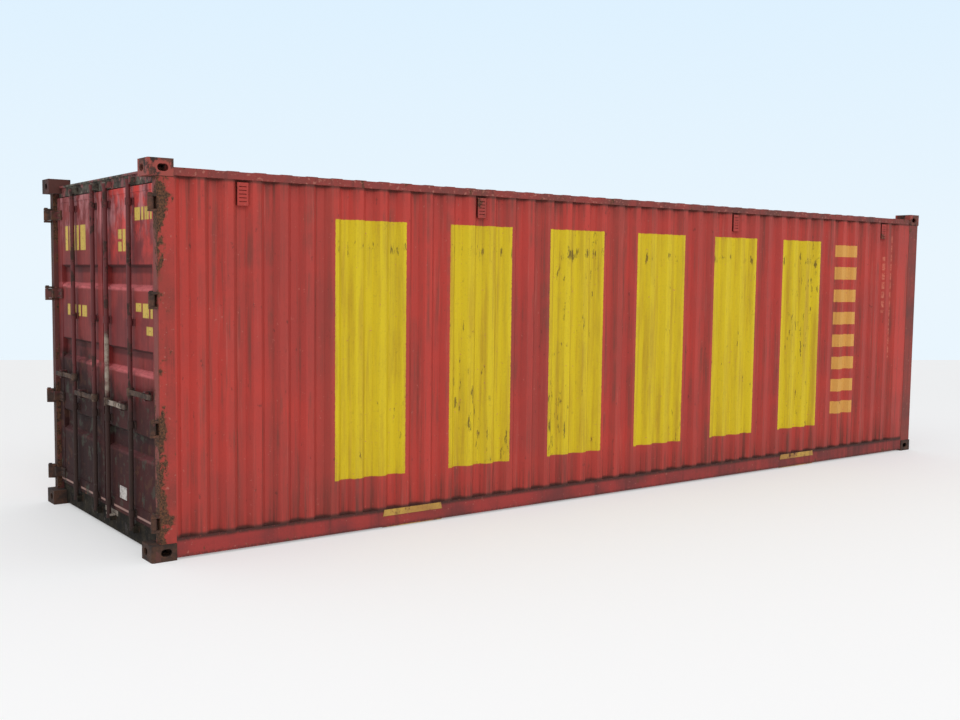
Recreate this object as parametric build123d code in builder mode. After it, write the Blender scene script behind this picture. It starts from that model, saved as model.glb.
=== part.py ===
# A 30 ft steel shipping container for dry bulk goods, with grapple pads for lifting by
# arms, four side vents a side and a pair of full-height doors with four locking bars.
#
# Millimetres. +Z is up, and the origin is at the centre of the base, level with the
# undersides of the bottom corner castings. The doors are at the -X end. Seen from in
# front of the doors, the right-hand side is -Y and the left-hand side is +Y.
#
# Most sections are drawn at the right-hand door corner, where u is the distance in from
# the end plane of the castings and v the distance in from their side plane.
import os
from math import floor, hypot

from build123d import *

os.makedirs("parts", exist_ok=True)

# Overall size
length = 9125.0
width = 2500.0
height = 2743.0

# Corner castings, with their lock slots at the standard insets from the container's faces
lock_inset_x = 103.5
lock_inset_y = 120.5
casting_length = 178.0
casting_reach = 73.0  # from the lock slot's centre to the casting's inner face
casting_height = 118.0
casting_wall = 15.0
casting_base = 28.5  # thickness of the face with the lock slot
casting_back = 12.0  # thickness of the welded faces
casting_chamfer = 8.0
lock_slot = (124.0, 63.5)
side_slot = (79.0, 51.0)
end_slot = (66.0, 51.0)
side_slot_height = 62.0  # from the face with the lock slot to the side slots' centres

casting_width = lock_inset_y + casting_reach

# Steel sheet and pressed sections
sheet = 2.0
plate = 6.0
bend_chamfer = 6.0

# Rounds that nothing turns on are drawn as polygons, to keep the many repeats light
round_sides = 12
broad_sides = 20

# Side rails
rail_inset = 8.0  # rail faces stand in from the casting faces
bottom_rail_low = 15.0
bottom_rail_high = 150.0
bottom_rail_plate = 5.0
bottom_rail_lip = 50.0
top_rail_drop = 60.0  # from the top of the castings to the top of the rails
top_rail_height = 50.0
top_rail_width = 60.0
top_rail_plate = 3.0

rail_top = height - top_rail_drop
rail_under = rail_top - top_rail_height

# Side walls: trapezoid corrugations, upright
wall_inset = 10.0
wave_pitch = 210.0
wave_flat = 62.0
wave_depth = 40.0
first_wave = 190.0  # from the door end to the first bend
last_flat = 100.0  # least plain strip before the front posts

wave_slope = wave_pitch / 2 - wave_flat
side_waves = floor((length - first_wave - casting_length - last_flat) / wave_pitch)
wall_valley = wall_inset + wave_depth

# Front wall
front_pitch = 250.0
front_crest = 110.0
front_valley = 104.0
front_depth = 45.0
front_rail_low = 15.0
front_rail_depth = 60.0
front_rail_plate = 4.0
front_inset = 8.0

# Doors
hinge_inset = 22.0  # pin axis to the end plane and to the side plane
door_face = 96.0
door_depth = 46.0
door_hinge_edge = 97.0
door_centre_gap = 20.0  # between the two steel leaves
door_clearance = 8.0  # between a leaf and the header or the sill
sill_low = 15.0
sill_top = 172.0
header_drop = 148.0  # from the top of the castings to the header's underside
beam_face = 106.0  # front faces of header and sill
beam_plate = 4.0
header_stop = 35.0  # the header's down-standing stop behind the leaves
gutter_reach = 20.0
gutter_plate = 3.0
gutter_drop = 15.0
leaf_plate = 4.0
hinge_stile = 100.0
lock_stile = 100.0
leaf_bottom_rail = 105.0
leaf_top_rail = 42.0
seal_side = 5.0
seal_lip = 3.0
seal_width = 22.0
seal_start = 16.0  # from the leaf's face to the seal
seal_gap = 5.0  # from the leaf's back to the stop behind it

header_low = height - header_drop
leaf_edge = (width - door_centre_gap) / 2
door_low = sill_top + door_clearance
door_high = header_low - door_clearance
door_back = door_face + door_depth
stop_face = door_back + seal_gap

# Pressed door panel: broad pans with three set-back bands across
pan_step = 4.0
panel_sheet = 3.0
band_depth = 34.0
band_height = 124.0
band_slope = 22.0
band_shares = (0.2013, 0.469, 0.7367)  # of the panel's height

# Rear corner posts
post_face = 62.0
post_side = 6.0
post_inner = 86.0
post_stop_reach = 125.0

# Hinges
hinge_lowest = 85.0  # from the leaf's lower edge to the middle of the lowest hinge
hinge_highest = 142.0  # from the leaf's upper edge to the middle of the highest hinge
hinge_shares = (0.0, 0.3, 0.7, 1.0)  # of the height between those two
pin_radius = 10.0
pin_play = 0.3
pin_head = 15.0
pin_head_height = 8.0
eye_radius = 19.0
blade_height = 80.0
blade_thickness = 12.0
blade_line = 50.0  # u of the strap that passes the post
blade_leg = 98.0  # v of the leg that runs in to the leaf
blade_end = 215.0
lug_height = 16.0
lug_gap = 2.0
lug_root = 12.0
lug_reach = 60.0
blade_bend = 60.0

hinge_low = door_low + hinge_lowest
hinge_rise = door_high - hinge_highest - hinge_low
hinge_heights = [hinge_low + share * hinge_rise for share in hinge_shares]

# Locking bars, two on each door
inner_bar_inset = 143.0  # from the leaf's lock edge
outer_bar_inset = 491.0  # from the leaf's hinge edge
bar_radius = 17.0
bar_wall = 3.5
bar_line = 69.0  # u of the bar's axis
bar_play = 0.3
cam_radius = 21.0
cam_reach = 25.0
cam_width = 28.0
cam_height = 22.0
cam_low = 120.0
cam_drop = 118.0  # from the top of the castings to the upper cams
guide_radius = 23.0
guide_height = 50.0
guide_foot_width = 80.0
guide_foot_thickness = 6.0
guide_lowest = 52.0  # from the leaf's lower edge to the middle of the lowest guide
guide_highest = 107.0  # from the leaf's upper edge to the middle of the highest guide
guide_shares = (0.0, 0.288, 0.617, 1.0)  # of the height between those two
keeper_height = 50.0
keeper_play = 6.5
keeper_cheek = 12.0
keeper_back = 6.0
keeper_mouth = 62.0  # u of the cheeks' front edges

cam_high = height - cam_drop
guide_low = door_low + guide_lowest
guide_rise = door_high - guide_highest - guide_low
guide_heights = [guide_low + share * guide_rise for share in guide_shares]

# Handles and their catches
handle_shares = {"inner": 0.3416, "outer": 0.395}  # of the height between the end guides
handle_length = 450.0
handle_thickness = 12.0
handle_width = 36.0
handle_line = 60.0
handle_tip_line = 54.0
hub_radius = 26.0
hub_height = 60.0
hub_play = 0.2
catch_distance = 330.0
catch_width = 44.0
catch_play = 7.0
catch_plate = 8.0
catch_mouth = 50.0

handle_heights = {name: guide_low + share * guide_rise for name, share in handle_shares.items()}

# Floor
deck_thickness = 28.0
member_low = 28.0
member_flange = 45.0
member_plate = 4.5
member_pitch = 300.0

# Roof
roof_edge = 12.0
ridge_pitch = 210.0
ridge_top = 91.0
ridge_slope = 17.5
ridge_height = 20.0
ridge_end = 160.0  # from the side plane to the ends of the ridges
corner_plate_length = 300.0
corner_plate_thickness = 3.0

# Roof hatches
hatch_end_distance = 962.5  # from each end of the container to the nearest hatch's centre
hatch_count = 4
hatch_bore = 250.0  # radius
coaming_wall = 6.0
coaming_height = 26.0
lid_radius = 275.0
lid_edge = 10.0
lid_dome = 14.0
lid_taper = 80.0  # from upright, in degrees
hatch_clear = 340.0  # half the plain square around a hatch

hatch_spacing = (length - 2 * hatch_end_distance) / (hatch_count - 1)

# Side vents
vent_shares = (0.05, 0.3, 0.66, 0.955)  # of the count of waves
vent_bottom_width = 60.0
vent_width = 84.0
vent_drop = 18.0  # from the rail's underside to the vent's top
vent_height = 161.0
vent_face = 16.0
vent_slot = 6.0
vent_slot_spacing = 26.0
vent_slot_depth = 12.0
vent_slot_count = 5

# Grapple pads
pad_spacing = 4876.0
pad_length = 560.0
pad_low = 99.0
pad_high = 149.0
pad_taper = 12.0
wear_thickness = 5.0


def corner_plan(z=0.0):
    """Plan plane at the right-hand door corner: local x is u, local y is v."""
    return Plane(origin=(-length / 2, -width / 2, z), x_dir=(1, 0, 0), z_dir=(0, 0, 1))


def side_section(x=0.0):
    """Section plane across the right-hand side: local x is v, local y is z."""
    return Plane(origin=(x, -width / 2, 0), x_dir=(0, 1, 0), z_dir=(1, 0, 0))


def end_section(v):
    """Section plane at v: local x is u, local y is z, and pieces grow towards lower v."""
    return Plane(origin=(-length / 2, v - width / 2, 0), x_dir=(1, 0, 0), z_dir=(0, -1, 0))


def end_view(u):
    """Upright plane across the container at u: local x is Y, local y is Z, drawn to +X."""
    return Plane(origin=(-length / 2 + u, 0, 0), x_dir=(0, 1, 0), z_dir=(1, 0, 0))


def span(low, high, bottom, top, mode=Mode.ADD):
    """A rectangle from (low, bottom) to (high, top) in the sketch that is open."""
    with Locations(((low + high) / 2, (bottom + top) / 2)):
        Rectangle(high - low, top - bottom, mode=mode)


def round_bar(radius, sides=round_sides):
    """A round section in the sketch that is open, with its corners at the radius."""
    RegularPolygon(radius, sides)


def round_bore(radius, sides=round_sides):
    """A round hole in the sketch that is open, with its flats at the radius."""
    RegularPolygon(radius, sides, major_radius=False, mode=Mode.SUBTRACT)


def slot_hole(size):
    """A slot in the sketch that is open, of the overall length and width given."""
    Rectangle(size[0] - size[1], size[1])
    with GridLocations(size[0] - size[1], 1, 2, 1):
        RegularPolygon(size[1] / 2, round_sides)


def save(piece, name):
    """Labels a finished piece and writes it as the node of that name."""
    piece.label = name
    export_step(piece, f"parts/{name}.step")


def both_sides(piece, name):
    """Writes one node with a piece and its mirror image on the other side wall."""
    with BuildPart() as pair:
        add(piece)
        mirror(about=Plane.XZ)
    save(pair.part, name)


def left_hand(piece):
    """The left-hand copy of a right-hand piece."""
    with BuildPart() as copy:
        mirror(piece, about=Plane.XZ)
    return copy.part


# Corner castings: cast boxes with a lock slot, a side slot and an end slot
with BuildPart() as casting:
    with BuildSketch(corner_plan()):
        span(0, casting_length, 0, casting_width)
    extrude(amount=casting_height)
    outer_edge = casting.edges().filter_by(Axis.Z).sort_by(Axis.X)[:2].sort_by(Axis.Y)[0]
    chamfer(outer_edge, casting_chamfer)
    with BuildSketch(corner_plan(casting_base)):
        span(casting_wall, casting_length - casting_back, casting_wall, casting_width - casting_back)
    extrude(amount=casting_height - casting_base - casting_back, mode=Mode.SUBTRACT)
    with BuildSketch(corner_plan()):
        with Locations((lock_inset_x, lock_inset_y)):
            SlotOverall(*lock_slot)
    extrude(amount=casting_base, mode=Mode.SUBTRACT)
    with BuildSketch(Plane(corner_plan().origin, x_dir=(1, 0, 0), z_dir=(0, -1, 0))):
        with Locations((lock_inset_x, side_slot_height)):
            slot_hole(side_slot)
    extrude(amount=-casting_wall, mode=Mode.SUBTRACT)
    with BuildSketch(Plane(corner_plan().origin, x_dir=(0, 1, 0), z_dir=(1, 0, 0))):
        with Locations((lock_inset_y, side_slot_height)):
            slot_hole(end_slot)
    extrude(amount=casting_wall, mode=Mode.SUBTRACT)

with BuildPart() as bottom_castings:
    add(casting.part)
    mirror(about=Plane.YZ)
    mirror(about=Plane.XZ)
save(bottom_castings.part, "corner_castings_bottom")

with BuildPart() as top_castings:
    mirror(bottom_castings.part, about=Plane.XY.offset(height / 2))
save(top_castings.part, "corner_castings_top")

# Rear corner posts: hollow sections with a leg behind the door's hinge edge
with BuildPart() as rear_post:
    with BuildSketch(corner_plan(casting_height)) as post_section:
        span(post_face, casting_length, post_side, post_inner)
        span(stop_face, casting_length, post_side, post_stop_reach)
        chamfer(post_section.vertices().group_by(Axis.X)[0].sort_by(Axis.Y)[0], bend_chamfer)
        offset(amount=-plate, kind=Kind.INTERSECTION, mode=Mode.SUBTRACT)
    extrude(amount=height - 2 * casting_height)
both_sides(rear_post.part, "rear_corner_posts")

# Front corner posts: pressed channels, open towards the inside
with BuildPart() as front_post:
    with BuildSketch(corner_plan(casting_height)) as front_section:
        span(front_inset, casting_length, front_inset, casting_width)
        chamfer(front_section.vertices().group_by(Axis.X)[0].sort_by(Axis.Y)[0], bend_chamfer)
        span(front_inset + plate, casting_length, front_inset + plate, casting_width - plate, Mode.SUBTRACT)
        span(front_inset + front_rail_depth, casting_length, casting_width / 2, casting_width, Mode.SUBTRACT)
    extrude(amount=height - 2 * casting_height)
with BuildPart() as front_posts:
    mirror(front_post.part, about=Plane.YZ)
    mirror(about=Plane.XZ)
save(front_posts.part, "front_corner_posts")

# Side rails between the castings: a channel below and a hollow section above
with BuildPart() as bottom_rail:
    with BuildSketch(side_section(casting_length - length / 2)):
        span(rail_inset, rail_inset + bottom_rail_lip, bottom_rail_low, bottom_rail_high)
        span(
            rail_inset + bottom_rail_plate,
            rail_inset + bottom_rail_lip,
            bottom_rail_low + bottom_rail_plate,
            bottom_rail_high - bottom_rail_plate,
            Mode.SUBTRACT,
        )
    extrude(amount=length - 2 * casting_length)
both_sides(bottom_rail.part, "bottom_side_rails")

with BuildPart() as top_rail:
    with BuildSketch(side_section(casting_length - length / 2)):
        span(rail_inset, rail_inset + top_rail_width, rail_under, rail_top)
        offset(amount=-top_rail_plate, kind=Kind.INTERSECTION, mode=Mode.SUBTRACT)
    extrude(amount=length - 2 * casting_length)
both_sides(top_rail.part, "top_side_rails")

# Door header and sill: hollow beams that reach in between the castings
with BuildPart() as door_header:
    with BuildSketch(end_section(width - casting_width)):
        span(beam_face, casting_length, header_low, rail_top)
        offset(amount=-beam_plate, kind=Kind.INTERSECTION, mode=Mode.SUBTRACT)
    extrude(amount=width - 2 * casting_width)
    with BuildSketch(end_section(width - post_stop_reach)):
        span(beam_face, casting_length, header_low, header_low + beam_plate)
        span(stop_face, stop_face + beam_plate, header_low - header_stop, header_low)
    extrude(amount=width - 2 * post_stop_reach)
    with BuildSketch(end_section(width - post_stop_reach)):
        span(beam_face, beam_face + beam_plate, header_low, height - casting_height)
        span(casting_length - beam_plate, casting_length, header_low, height - casting_height)
    extrude(amount=width - 2 * post_stop_reach)
    gutter_low = rail_top - gutter_drop
    with BuildSketch(end_section(width - casting_width)):
        span(beam_face - gutter_reach, beam_face, gutter_low, gutter_low + gutter_plate)
        span(beam_face - gutter_reach, beam_face - gutter_reach + gutter_plate, gutter_low, rail_top)
    extrude(amount=width - 2 * casting_width)
save(door_header.part, "door_header")

with BuildPart() as door_sill:
    with BuildSketch(end_section(width - casting_width)):
        span(beam_face, casting_length, sill_low, sill_top)
        offset(amount=-beam_plate, kind=Kind.INTERSECTION, mode=Mode.SUBTRACT)
    extrude(amount=width - 2 * casting_width)
    with BuildSketch(end_section(width - post_stop_reach)):
        span(beam_face, casting_length, sill_top - beam_plate, sill_top)
        span(beam_face, beam_face + beam_plate, casting_height, sill_top)
        span(casting_length - beam_plate, casting_length, casting_height, sill_top)
    extrude(amount=width - 2 * post_stop_reach)
save(door_sill.part, "door_sill")

# Front rails: hollow beams above and below the front wall
for rail_name, rail_span in {
    "front_top_rail": (rail_under, rail_top),
    "front_bottom_rail": (bottom_rail_low, bottom_rail_high),
}.items():
    with BuildPart() as front_rail:
        with BuildSketch(end_section(width - casting_width)):
            span(front_inset, front_inset + front_rail_depth, *rail_span)
            offset(amount=-front_rail_plate, kind=Kind.INTERSECTION, mode=Mode.SUBTRACT)
        extrude(amount=width - 2 * casting_width)
    with BuildPart() as front_rail_placed:
        mirror(front_rail.part, about=Plane.YZ)
    save(front_rail_placed.part, rail_name)


def sheet_outline(bends, thickness):
    """Closed outline of a folded sheet: the bends, and the same bends one thickness in."""
    return bends + [(along, inset + thickness) for along, inset in reversed(bends)]


# Side walls: upright corrugations between the posts
side_bends = [(casting_length, wall_inset)]
for wave in range(side_waves):
    start = first_wave + wave * wave_pitch
    side_bends += [
        (start, wall_inset),
        (start + wave_slope, wall_valley),
        (start + wave_slope + wave_flat, wall_valley),
        (start + 2 * wave_slope + wave_flat, wall_inset),
    ]
side_bends.append((length - casting_length, wall_inset))
with BuildPart() as right_wall:
    with BuildSketch(corner_plan(bottom_rail_high)):
        with BuildLine():
            Polyline(*sheet_outline(side_bends, sheet), close=True)
        make_face()
    extrude(amount=rail_under - bottom_rail_high)
save(right_wall.part, "right_side_wall")
save(left_hand(right_wall.part), "left_side_wall")

# Front wall: broader corrugations between the front posts
front_width = width - 2 * casting_width
front_slope = (front_pitch - front_crest - front_valley) / 2
front_waves = floor((front_width - front_crest) / front_pitch)
front_start = casting_width + (front_width - front_waves * front_pitch + front_crest) / 2
front_bends = [(casting_width, wall_inset)]
for wave in range(front_waves):
    start = front_start + wave * front_pitch
    front_bends += [
        (start, wall_inset),
        (start + front_slope, wall_inset + front_depth),
        (start + front_slope + front_valley, wall_inset + front_depth),
        (start + 2 * front_slope + front_valley, wall_inset),
    ]
front_bends.append((width - casting_width, wall_inset))
front_outline = [(inset, along) for along, inset in sheet_outline(front_bends, sheet)]
with BuildPart() as front_wall_drawn:
    with BuildSketch(corner_plan(bottom_rail_high)):
        with BuildLine():
            Polyline(*front_outline, close=True)
        make_face()
    extrude(amount=rail_under - bottom_rail_high)
with BuildPart() as front_wall:
    mirror(front_wall_drawn.part, about=Plane.YZ)
save(front_wall.part, "front_wall")

# Floor deck on channel cross members
deck_end = length - front_inset - front_rail_depth
with BuildPart() as floor_deck:
    with BuildSketch(corner_plan(sill_top - deck_thickness)):
        span(casting_length, deck_end, rail_inset + bottom_rail_lip, width - rail_inset - bottom_rail_lip)
    extrude(amount=deck_thickness)
save(floor_deck.part, "floor_deck")

member_high = sill_top - deck_thickness
member_count = floor((length - 2 * casting_length - member_flange) / member_pitch)
with BuildPart() as cross_members:
    with BuildSketch(end_section(width - rail_inset - bottom_rail_plate)):
        with Locations((length / 2, (member_low + member_high) / 2)):
            with GridLocations(member_pitch, 1, member_count, 1):
                Rectangle(member_flange, member_high - member_low)
        with Locations((length / 2 + member_plate, (member_low + member_high) / 2)):
            with GridLocations(member_pitch, 1, member_count, 1):
                Rectangle(member_flange, member_high - member_low - 2 * member_plate, mode=Mode.SUBTRACT)
    extrude(amount=width - 2 * (rail_inset + bottom_rail_plate))
save(cross_members.part, "floor_cross_members")

# Roof: a sheet with pressed ridges across it, plain around the hatches
hatch_places = [hatch_end_distance + i * hatch_spacing for i in range(hatch_count)]
ridge_foot = ridge_top + 2 * ridge_slope
ridge_count = floor((length - 2 * casting_length - 2 * corner_plate_length) / ridge_pitch)
ridge_places = [length / 2 + (i - (ridge_count - 1) / 2) * ridge_pitch for i in range(ridge_count)]
ridge_spans = {
    (ridge_end, width - ridge_end): [],
    (ridge_end, width / 2 - hatch_clear): [],
    (width / 2 + hatch_clear, width - ridge_end): [],
}
for place in ridge_places:
    broken = min(abs(place - hatch) for hatch in hatch_places) < hatch_clear + ridge_foot / 2
    for number, places in enumerate(ridge_spans.values()):
        if broken == (number > 0):
            places.append(place)


def ridge_bars(shrink, top):
    """Bars in the shape of the ridges, shrunk at the flanks and the ends."""
    with BuildPart() as bars:
        for (low, high), places in ridge_spans.items():
            with BuildSketch(end_section(high - shrink)):
                for place in places:
                    with BuildLine():
                        Polyline(
                            (place - ridge_foot / 2 + shrink, rail_top),
                            (place - ridge_top / 2 + shrink, top),
                            (place + ridge_top / 2 - shrink, top),
                            (place + ridge_foot / 2 - shrink, rail_top),
                            close=True,
                        )
                    make_face()
            extrude(amount=high - low - 2 * shrink)
    return bars.part


with BuildPart() as roof:
    with BuildSketch(corner_plan(rail_top)):
        span(casting_length, length - casting_length, roof_edge, width - roof_edge)
        span(beam_face + roof_edge, length - 2 * roof_edge, casting_width, width - casting_width)
        with Locations(*[(place, width / 2) for place in hatch_places]):
            round_bore(hatch_bore, broad_sides)
    extrude(amount=sheet)
    add(ridge_bars(0, rail_top + ridge_height))
    add(ridge_bars(sheet, rail_top + ridge_height - sheet), mode=Mode.SUBTRACT)
save(roof.part, "roof_panel")

with BuildPart() as corner_plate:
    with BuildSketch(corner_plan(rail_top + sheet)):
        span(casting_length, casting_length + corner_plate_length, roof_edge, ridge_end - roof_edge)
    extrude(amount=corner_plate_thickness)
with BuildPart() as corner_plates:
    add(corner_plate.part)
    mirror(about=Plane.YZ)
    mirror(about=Plane.XZ)
save(corner_plates.part, "roof_corner_plates")

# Roof hatches: round coamings with domed lids, modelled shut
with BuildPart() as coamings:
    with BuildSketch(corner_plan(rail_top + sheet)):
        with Locations(*[(place, width / 2) for place in hatch_places]):
            round_bar(hatch_bore + coaming_wall, broad_sides)
            round_bore(hatch_bore, broad_sides)
    extrude(amount=coaming_height)
save(coamings.part, "roof_hatch_coamings")

lid_base = rail_top + sheet + coaming_height
with BuildPart() as lid:
    with BuildSketch(Plane.XY.offset(lid_base)):
        round_bar(lid_radius, broad_sides)
    extrude(amount=lid_edge)
    with BuildSketch(Plane.XY.offset(lid_base + lid_edge)):
        round_bar(lid_radius - lid_dome, broad_sides)
    extrude(amount=lid_dome, taper=lid_taper)
with BuildPart() as lids:
    with Locations(*[(place - length / 2, 0) for place in hatch_places]):
        add(lid.part)
save(lids.part, "roof_hatch_lids")

# Side vents: louvred covers in the valleys of the wall
vent_top = rail_under - vent_drop
with BuildPart() as vents:
    for share in vent_shares:
        wave = floor(share * side_waves)
        middle = first_wave + wave * wave_pitch + wave_slope + wave_flat / 2
        with BuildSketch(corner_plan(vent_top - vent_height)):
            with BuildLine():
                Polyline(
                    (middle - vent_bottom_width / 2, wall_valley),
                    (middle - vent_width / 2, vent_face),
                    (middle + vent_width / 2, vent_face),
                    (middle + vent_bottom_width / 2, wall_valley),
                    close=True,
                )
            make_face()
        extrude(amount=vent_height)
        louvre_place = (middle - length / 2, vent_face - width / 2, vent_top - vent_height / 2)
        with BuildSketch(Plane(louvre_place, x_dir=(1, 0, 0), z_dir=(0, -1, 0))):
            with GridLocations(1, vent_slot_spacing, 1, vent_slot_count):
                Rectangle(vent_width * 2 / 3, vent_slot)
        extrude(amount=-vent_slot_depth, mode=Mode.SUBTRACT)
both_sides(vents.part, "side_vents")

# Grapple pads: plates on the faces and under the bottom side rails
with BuildPart() as pads:
    with BuildSketch(Plane((0, rail_inset - width / 2, 0), x_dir=(1, 0, 0), z_dir=(0, -1, 0))):
        for place in (-pad_spacing / 2, pad_spacing / 2):
            with BuildLine():
                Polyline(
                    (place - pad_length / 2, pad_low),
                    (place + pad_length / 2, pad_low),
                    (place + pad_length / 2 - pad_taper, pad_high),
                    (place - pad_length / 2 + pad_taper, pad_high),
                    close=True,
                )
            make_face()
    extrude(amount=wear_thickness)
    with BuildSketch(Plane.XY.offset(bottom_rail_low - wear_thickness)):
        with Locations((0, rail_inset + bottom_rail_lip / 2 - width / 2)):
            with GridLocations(pad_spacing, 1, 2, 1):
                Rectangle(pad_length, bottom_rail_lip)
    extrude(amount=wear_thickness)
both_sides(pads.part, "grapple_pads")

# Keepers on the header and the sill: a back plate and two cheeks around each cam
bar_places = {
    "inner": leaf_edge - inner_bar_inset,
    "outer": door_hinge_edge + outer_bar_inset,
}
cheek_gap = hypot(cam_reach, cam_width / 2) + keeper_play
for keeper_name, keeper_middle in {"sill_keepers": cam_low, "header_keepers": cam_high}.items():
    with BuildPart() as keepers:
        with BuildSketch(corner_plan(keeper_middle - keeper_height / 2)):
            for place in bar_places.values():
                reach = cheek_gap + keeper_cheek
                span(beam_face - keeper_back, beam_face, place - reach, place + reach)
                span(keeper_mouth, beam_face, place - reach, place - cheek_gap)
                span(keeper_mouth, beam_face, place + cheek_gap, place + reach)
        extrude(amount=keeper_height)
    both_sides(keepers.part, keeper_name)

# Hinge lugs on the rear posts, above and below each blade, and their pins
lug_offset = blade_height / 2 + lug_gap
with BuildPart() as lug:
    with BuildSketch(corner_plan()):
        with Locations((hinge_inset, hinge_inset)):
            round_bar(eye_radius)
        span(post_face - lug_root, post_face, post_side, lug_reach)
        make_hull()
        with Locations((hinge_inset, hinge_inset)):
            round_bore(pin_radius)
    extrude(amount=lug_height)
with BuildPart() as lugs:
    for middle in hinge_heights:
        with Locations((0, 0, middle + lug_offset), (0, 0, middle - lug_offset - lug_height)):
            add(lug.part)
both_sides(lugs.part, "hinge_lugs")

pin_length = 2 * (lug_offset + lug_height)
with BuildPart() as pin:
    with BuildSketch(corner_plan(-pin_length / 2)):
        with Locations((hinge_inset, hinge_inset)):
            Circle(pin_radius)
    extrude(amount=pin_length)
    with BuildSketch(corner_plan(pin_length / 2)):
        with Locations((hinge_inset, hinge_inset)):
            round_bar(pin_head)
    extrude(amount=pin_head_height)
with BuildPart() as pins:
    with Locations(*[(0, 0, middle) for middle in hinge_heights]):
        add(pin.part)
both_sides(pins.part, "hinge_pins")

# Door frame: hollow stiles and rails
hinge_stile_edge = door_hinge_edge + hinge_stile
lock_stile_edge = leaf_edge - lock_stile
with BuildPart() as door_frame:
    with BuildSketch(corner_plan(door_low)):
        span(door_face, door_back, door_hinge_edge, hinge_stile_edge)
        span(door_face, door_back, lock_stile_edge, leaf_edge)
        offset(amount=-leaf_plate, kind=Kind.INTERSECTION, mode=Mode.SUBTRACT)
    extrude(amount=door_high - door_low)
    with BuildSketch(end_section(lock_stile_edge)):
        span(door_face, door_back, door_low, door_low + leaf_bottom_rail)
        span(door_face, door_back, door_high - leaf_top_rail, door_high)
        offset(amount=-leaf_plate, kind=Kind.INTERSECTION, mode=Mode.SUBTRACT)
    extrude(amount=lock_stile_edge - hinge_stile_edge)

# Door panel: one sheet between the frame members, with three bands set back
panel_low = door_low + leaf_bottom_rail
panel_high = door_high - leaf_top_rail
pan_face = door_face + pan_step
band_face = door_face + band_depth
panel_bends = [(panel_low, pan_face)]
for share in band_shares:
    centre = panel_low + share * (panel_high - panel_low)
    panel_bends += [
        (centre - band_height / 2 - band_slope, pan_face),
        (centre - band_height / 2, band_face),
        (centre + band_height / 2, band_face),
        (centre + band_height / 2 + band_slope, pan_face),
    ]
panel_bends.append((panel_high, pan_face))
panel_outline = [(inset, along) for along, inset in sheet_outline(panel_bends, panel_sheet)]
with BuildPart() as door_panel:
    with BuildSketch(end_section(lock_stile_edge)):
        with BuildLine():
            Polyline(*panel_outline, close=True)
        make_face()
    extrude(amount=lock_stile_edge - hinge_stile_edge)

# Door gasket: a rubber strip round the edge of the leaf
with BuildPart() as gasket:
    with BuildSketch(end_view(door_face + seal_start)):
        span(
            door_hinge_edge - seal_side - width / 2,
            leaf_edge + seal_side - width / 2,
            door_low - seal_lip,
            door_high + seal_lip,
        )
        span(door_hinge_edge - width / 2, leaf_edge - width / 2, door_low, door_high, Mode.SUBTRACT)
    extrude(amount=seal_width)

# Hinge blades: an eye on the pin, a strap past the post and a plate on the leaf
strap_low = blade_line - blade_thickness / 2
strap_high = blade_line + blade_thickness / 2
with BuildPart() as blade:
    with BuildSketch(corner_plan(-blade_height / 2)):
        with Locations((hinge_inset, hinge_inset)):
            round_bar(eye_radius)
        span(strap_low, strap_high, hinge_inset + eye_radius, blade_bend)
        make_hull()
        span(strap_low, strap_high, blade_bend, blade_leg + blade_thickness)
        span(strap_low, door_face, blade_leg, blade_leg + blade_thickness)
        span(door_face - blade_thickness, door_face, blade_leg, blade_end)
        with Locations((hinge_inset, hinge_inset)):
            round_bore(pin_radius + pin_play)
    extrude(amount=blade_height)
with BuildPart() as blades:
    with Locations(*[(0, 0, middle) for middle in hinge_heights]):
        add(blade.part)

# Locking bar guides: a foot on the leaf and a ring round the bar
with BuildPart() as guides:
    for middle in guide_heights:
        seat = pan_face if middle > panel_low else door_face
        with BuildSketch(corner_plan(middle - guide_height / 2)):
            for place in bar_places.values():
                foot_low = place - guide_foot_width / 2
                span(door_face - guide_foot_thickness, seat, foot_low, foot_low + guide_foot_width)
                with Locations((bar_line, place)):
                    round_bar(guide_radius)
                    round_bore(bar_radius + bar_play)
        extrude(amount=guide_height)

# Handle catches: a back plate with a lip above and below the handle
catch_half = handle_width / 2 + catch_play
with BuildPart() as catches:
    for name, place in bar_places.items():
        middle = handle_heights[name]
        with BuildSketch(end_section(place - catch_distance + catch_width / 2)):
            span(pan_face - catch_plate, pan_face, middle - catch_half, middle + catch_half)
            span(catch_mouth, pan_face, middle + catch_half, middle + catch_half + catch_plate)
            span(catch_mouth, pan_face, middle - catch_half - catch_plate, middle - catch_half)
        extrude(amount=catch_width)

for piece_name, piece in {
    "door_frame": door_frame.part,
    "door_panel": door_panel.part,
    "door_gasket": gasket.part,
    "hinge_blades": blades.part,
    "bar_guides": guides.part,
    "handle_catches": catches.part,
}.items():
    save(piece, f"right_{piece_name}")
    save(left_hand(piece), f"left_{piece_name}")

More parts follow.
